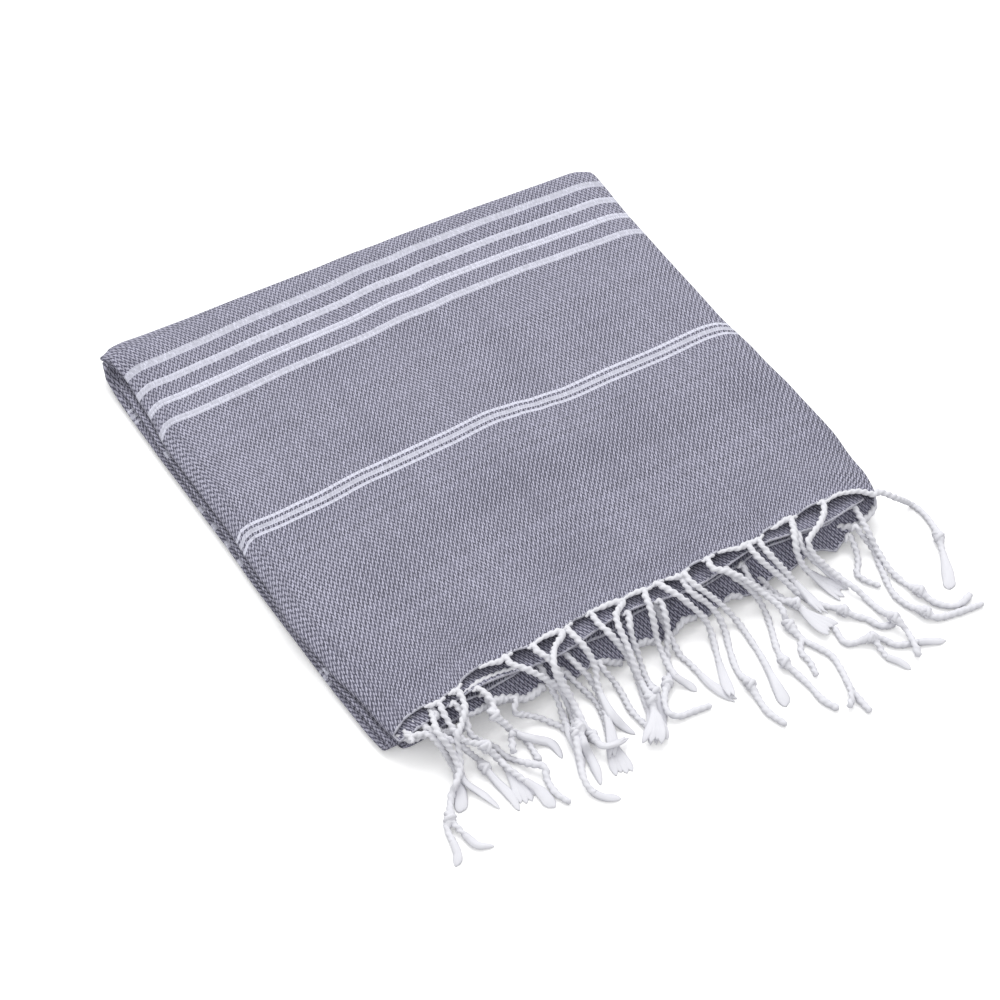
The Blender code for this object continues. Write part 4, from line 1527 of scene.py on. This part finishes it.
def makeFringe(material):
    shape = bmesh.new()
    shape.loops.layers.uv.new("yarn")
    laid = []
    for index, cord in enumerate(hemCords):
        layHemCord(shape, cord, laid, seeds["hemCord"] + index)
    order = sorted(range(len(fringeStrands)), key=lambda i: -fringeStrands[i]["layer"])
    for index in order:
        layStrand(shape, fringeStrands[index], laid, seeds["strand"] + index)
    restOnFloor(shape)
    edges = [edge for edge in shape.edges if edge.is_boundary]
    bmesh.ops.holes_fill(shape, edges=edges, sides=0)
    bmesh.ops.recalc_face_normals(shape, faces=shape.faces)
    return newPiece("towelFringe", shape, material)


fringeFinish = {
    "light": (0.77, 0.77, 0.81, 1.0),
    "shade": (0.65, 0.65, 0.70, 1.0),
    "roughness": 0.9,
    "gloss": 0.2,
    "sheen": 0.2,
    "sheenRoughness": 0.5,
    "fibre": 2600.0,        # fibres per metre round the yarn, and their share of that along it
    "along": 0.1,
    "patch": 130.0,         # cloudy patches per metre
    "fibreShare": 0.5,      # how much the fibres and the patches lighten the yarn
    "patchShare": 0.6,
    "bump": 0.5,
    "bumpDepth": 0.15,      # mm
}


def fringeMaterial():
    material, tree, shader = newCloth("whiteCottonYarn", fringeFinish)
    place = tree.nodes.new("ShaderNodeTexCoord").outputs["Object"]
    drawn = tree.nodes.new("ShaderNodeVectorMath")
    drawn.operation = "MULTIPLY"
    feed(tree, drawn.inputs[0], mapPlace(tree, "yarn"))
    drawn.inputs[1].default_value = (1.0, fringeFinish["along"], 1.0)
    fibre = noiseNode(tree, drawn.outputs[0], fringeFinish["fibre"])[0]
    patch = noiseNode(tree, place, fringeFinish["patch"])[0]
    fibreLight = maths(tree, "MULTIPLY", fibre, fringeFinish["fibreShare"])
    patchLight = maths(tree, "MULTIPLY", patch, fringeFinish["patchShare"])
    both = maths(tree, "ADD", fibreLight, patchLight, clamp=True)
    colour = mixColour(tree, both, fringeFinish["shade"], fringeFinish["light"])
    feed(tree, shader.inputs["Base Color"], colour)
    addBump(tree, shader, fibre, fringeFinish)
    return material


towelFringe = makeFringe(fringeMaterial())
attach(towelFringe, "root")
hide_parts("towel_fringe")
print("fringe laid:", len(fringeStrands), "strands,", len(towelFringe.data.polygons), "faces",
      sum(len(face.vertices) - 2 for face in towelFringe.data.polygons), "triangles")

# sizes and places of the studio in metres
studio = {
    "floorSize": 4.0,
    "floorRoughness": 0.9,
    "floor": (1.0, 1.0, 1.0, 1.0),
    "bounce": (0.38, 0.38, 0.39, 1.0),  # the floor as it lights the towel from below
    "glow": 0.2,                        # lifts the shadows on the floor
    "sky": 0.82,
    "key": {"place": (0.5, 1.3, 2.2), "size": 2.0, "power": 42.0},
    "fill": {"place": (-1.2, -1.6, 1.8), "size": 2.4, "power": 9.0},
}


def floorMaterial():
    material = bpy.data.materials.new("paleFloor")
    material.use_nodes = True
    tree = material.node_tree
    shader = tree.nodes["Principled BSDF"]
    shader.inputs["Roughness"].default_value = studio["floorRoughness"]
    shader.inputs["Emission Strength"].default_value = studio["glow"]
    seen = tree.nodes.new("ShaderNodeLightPath").outputs["Is Camera Ray"]
    feed(tree, shader.inputs["Base Color"],
         mixColour(tree, seen, studio["bounce"], studio["floor"]))
    feed(tree, shader.inputs["Emission Color"],
         mixColour(tree, seen, (0.0, 0.0, 0.0, 1.0), studio["floor"]))
    return material


def makeFloor():
    shape = bmesh.new()
    bmesh.ops.create_grid(shape, x_segments=1, y_segments=1, size=studio["floorSize"])
    newPiece("floor", shape, floorMaterial())


def makeLights():
    world = bpy.data.worlds.new("softStudio")
    bpy.context.scene.world = world
    world.use_nodes = True
    world.node_tree.nodes["Background"].inputs["Color"].default_value = (1.0, 1.0, 1.0, 1.0)
    world.node_tree.nodes["Background"].inputs["Strength"].default_value = studio["sky"]
    for name in ("key", "fill"):
        lamp = studio[name]
        data = bpy.data.lights.new(name + "Light", "AREA")
        data.size = lamp["size"]
        data.energy = lamp["power"]
        light = bpy.data.objects.new(name + "Light", data)
        light.location = lamp["place"]
        light.rotation_euler = Vector(lamp["place"]).to_track_quat("Z", "Y").to_euler()
        bpy.context.scene.collection.objects.link(light)
    bpy.context.scene.view_settings.view_transform = "Standard"


makeFloor()
makeLights()
print("studio lit")
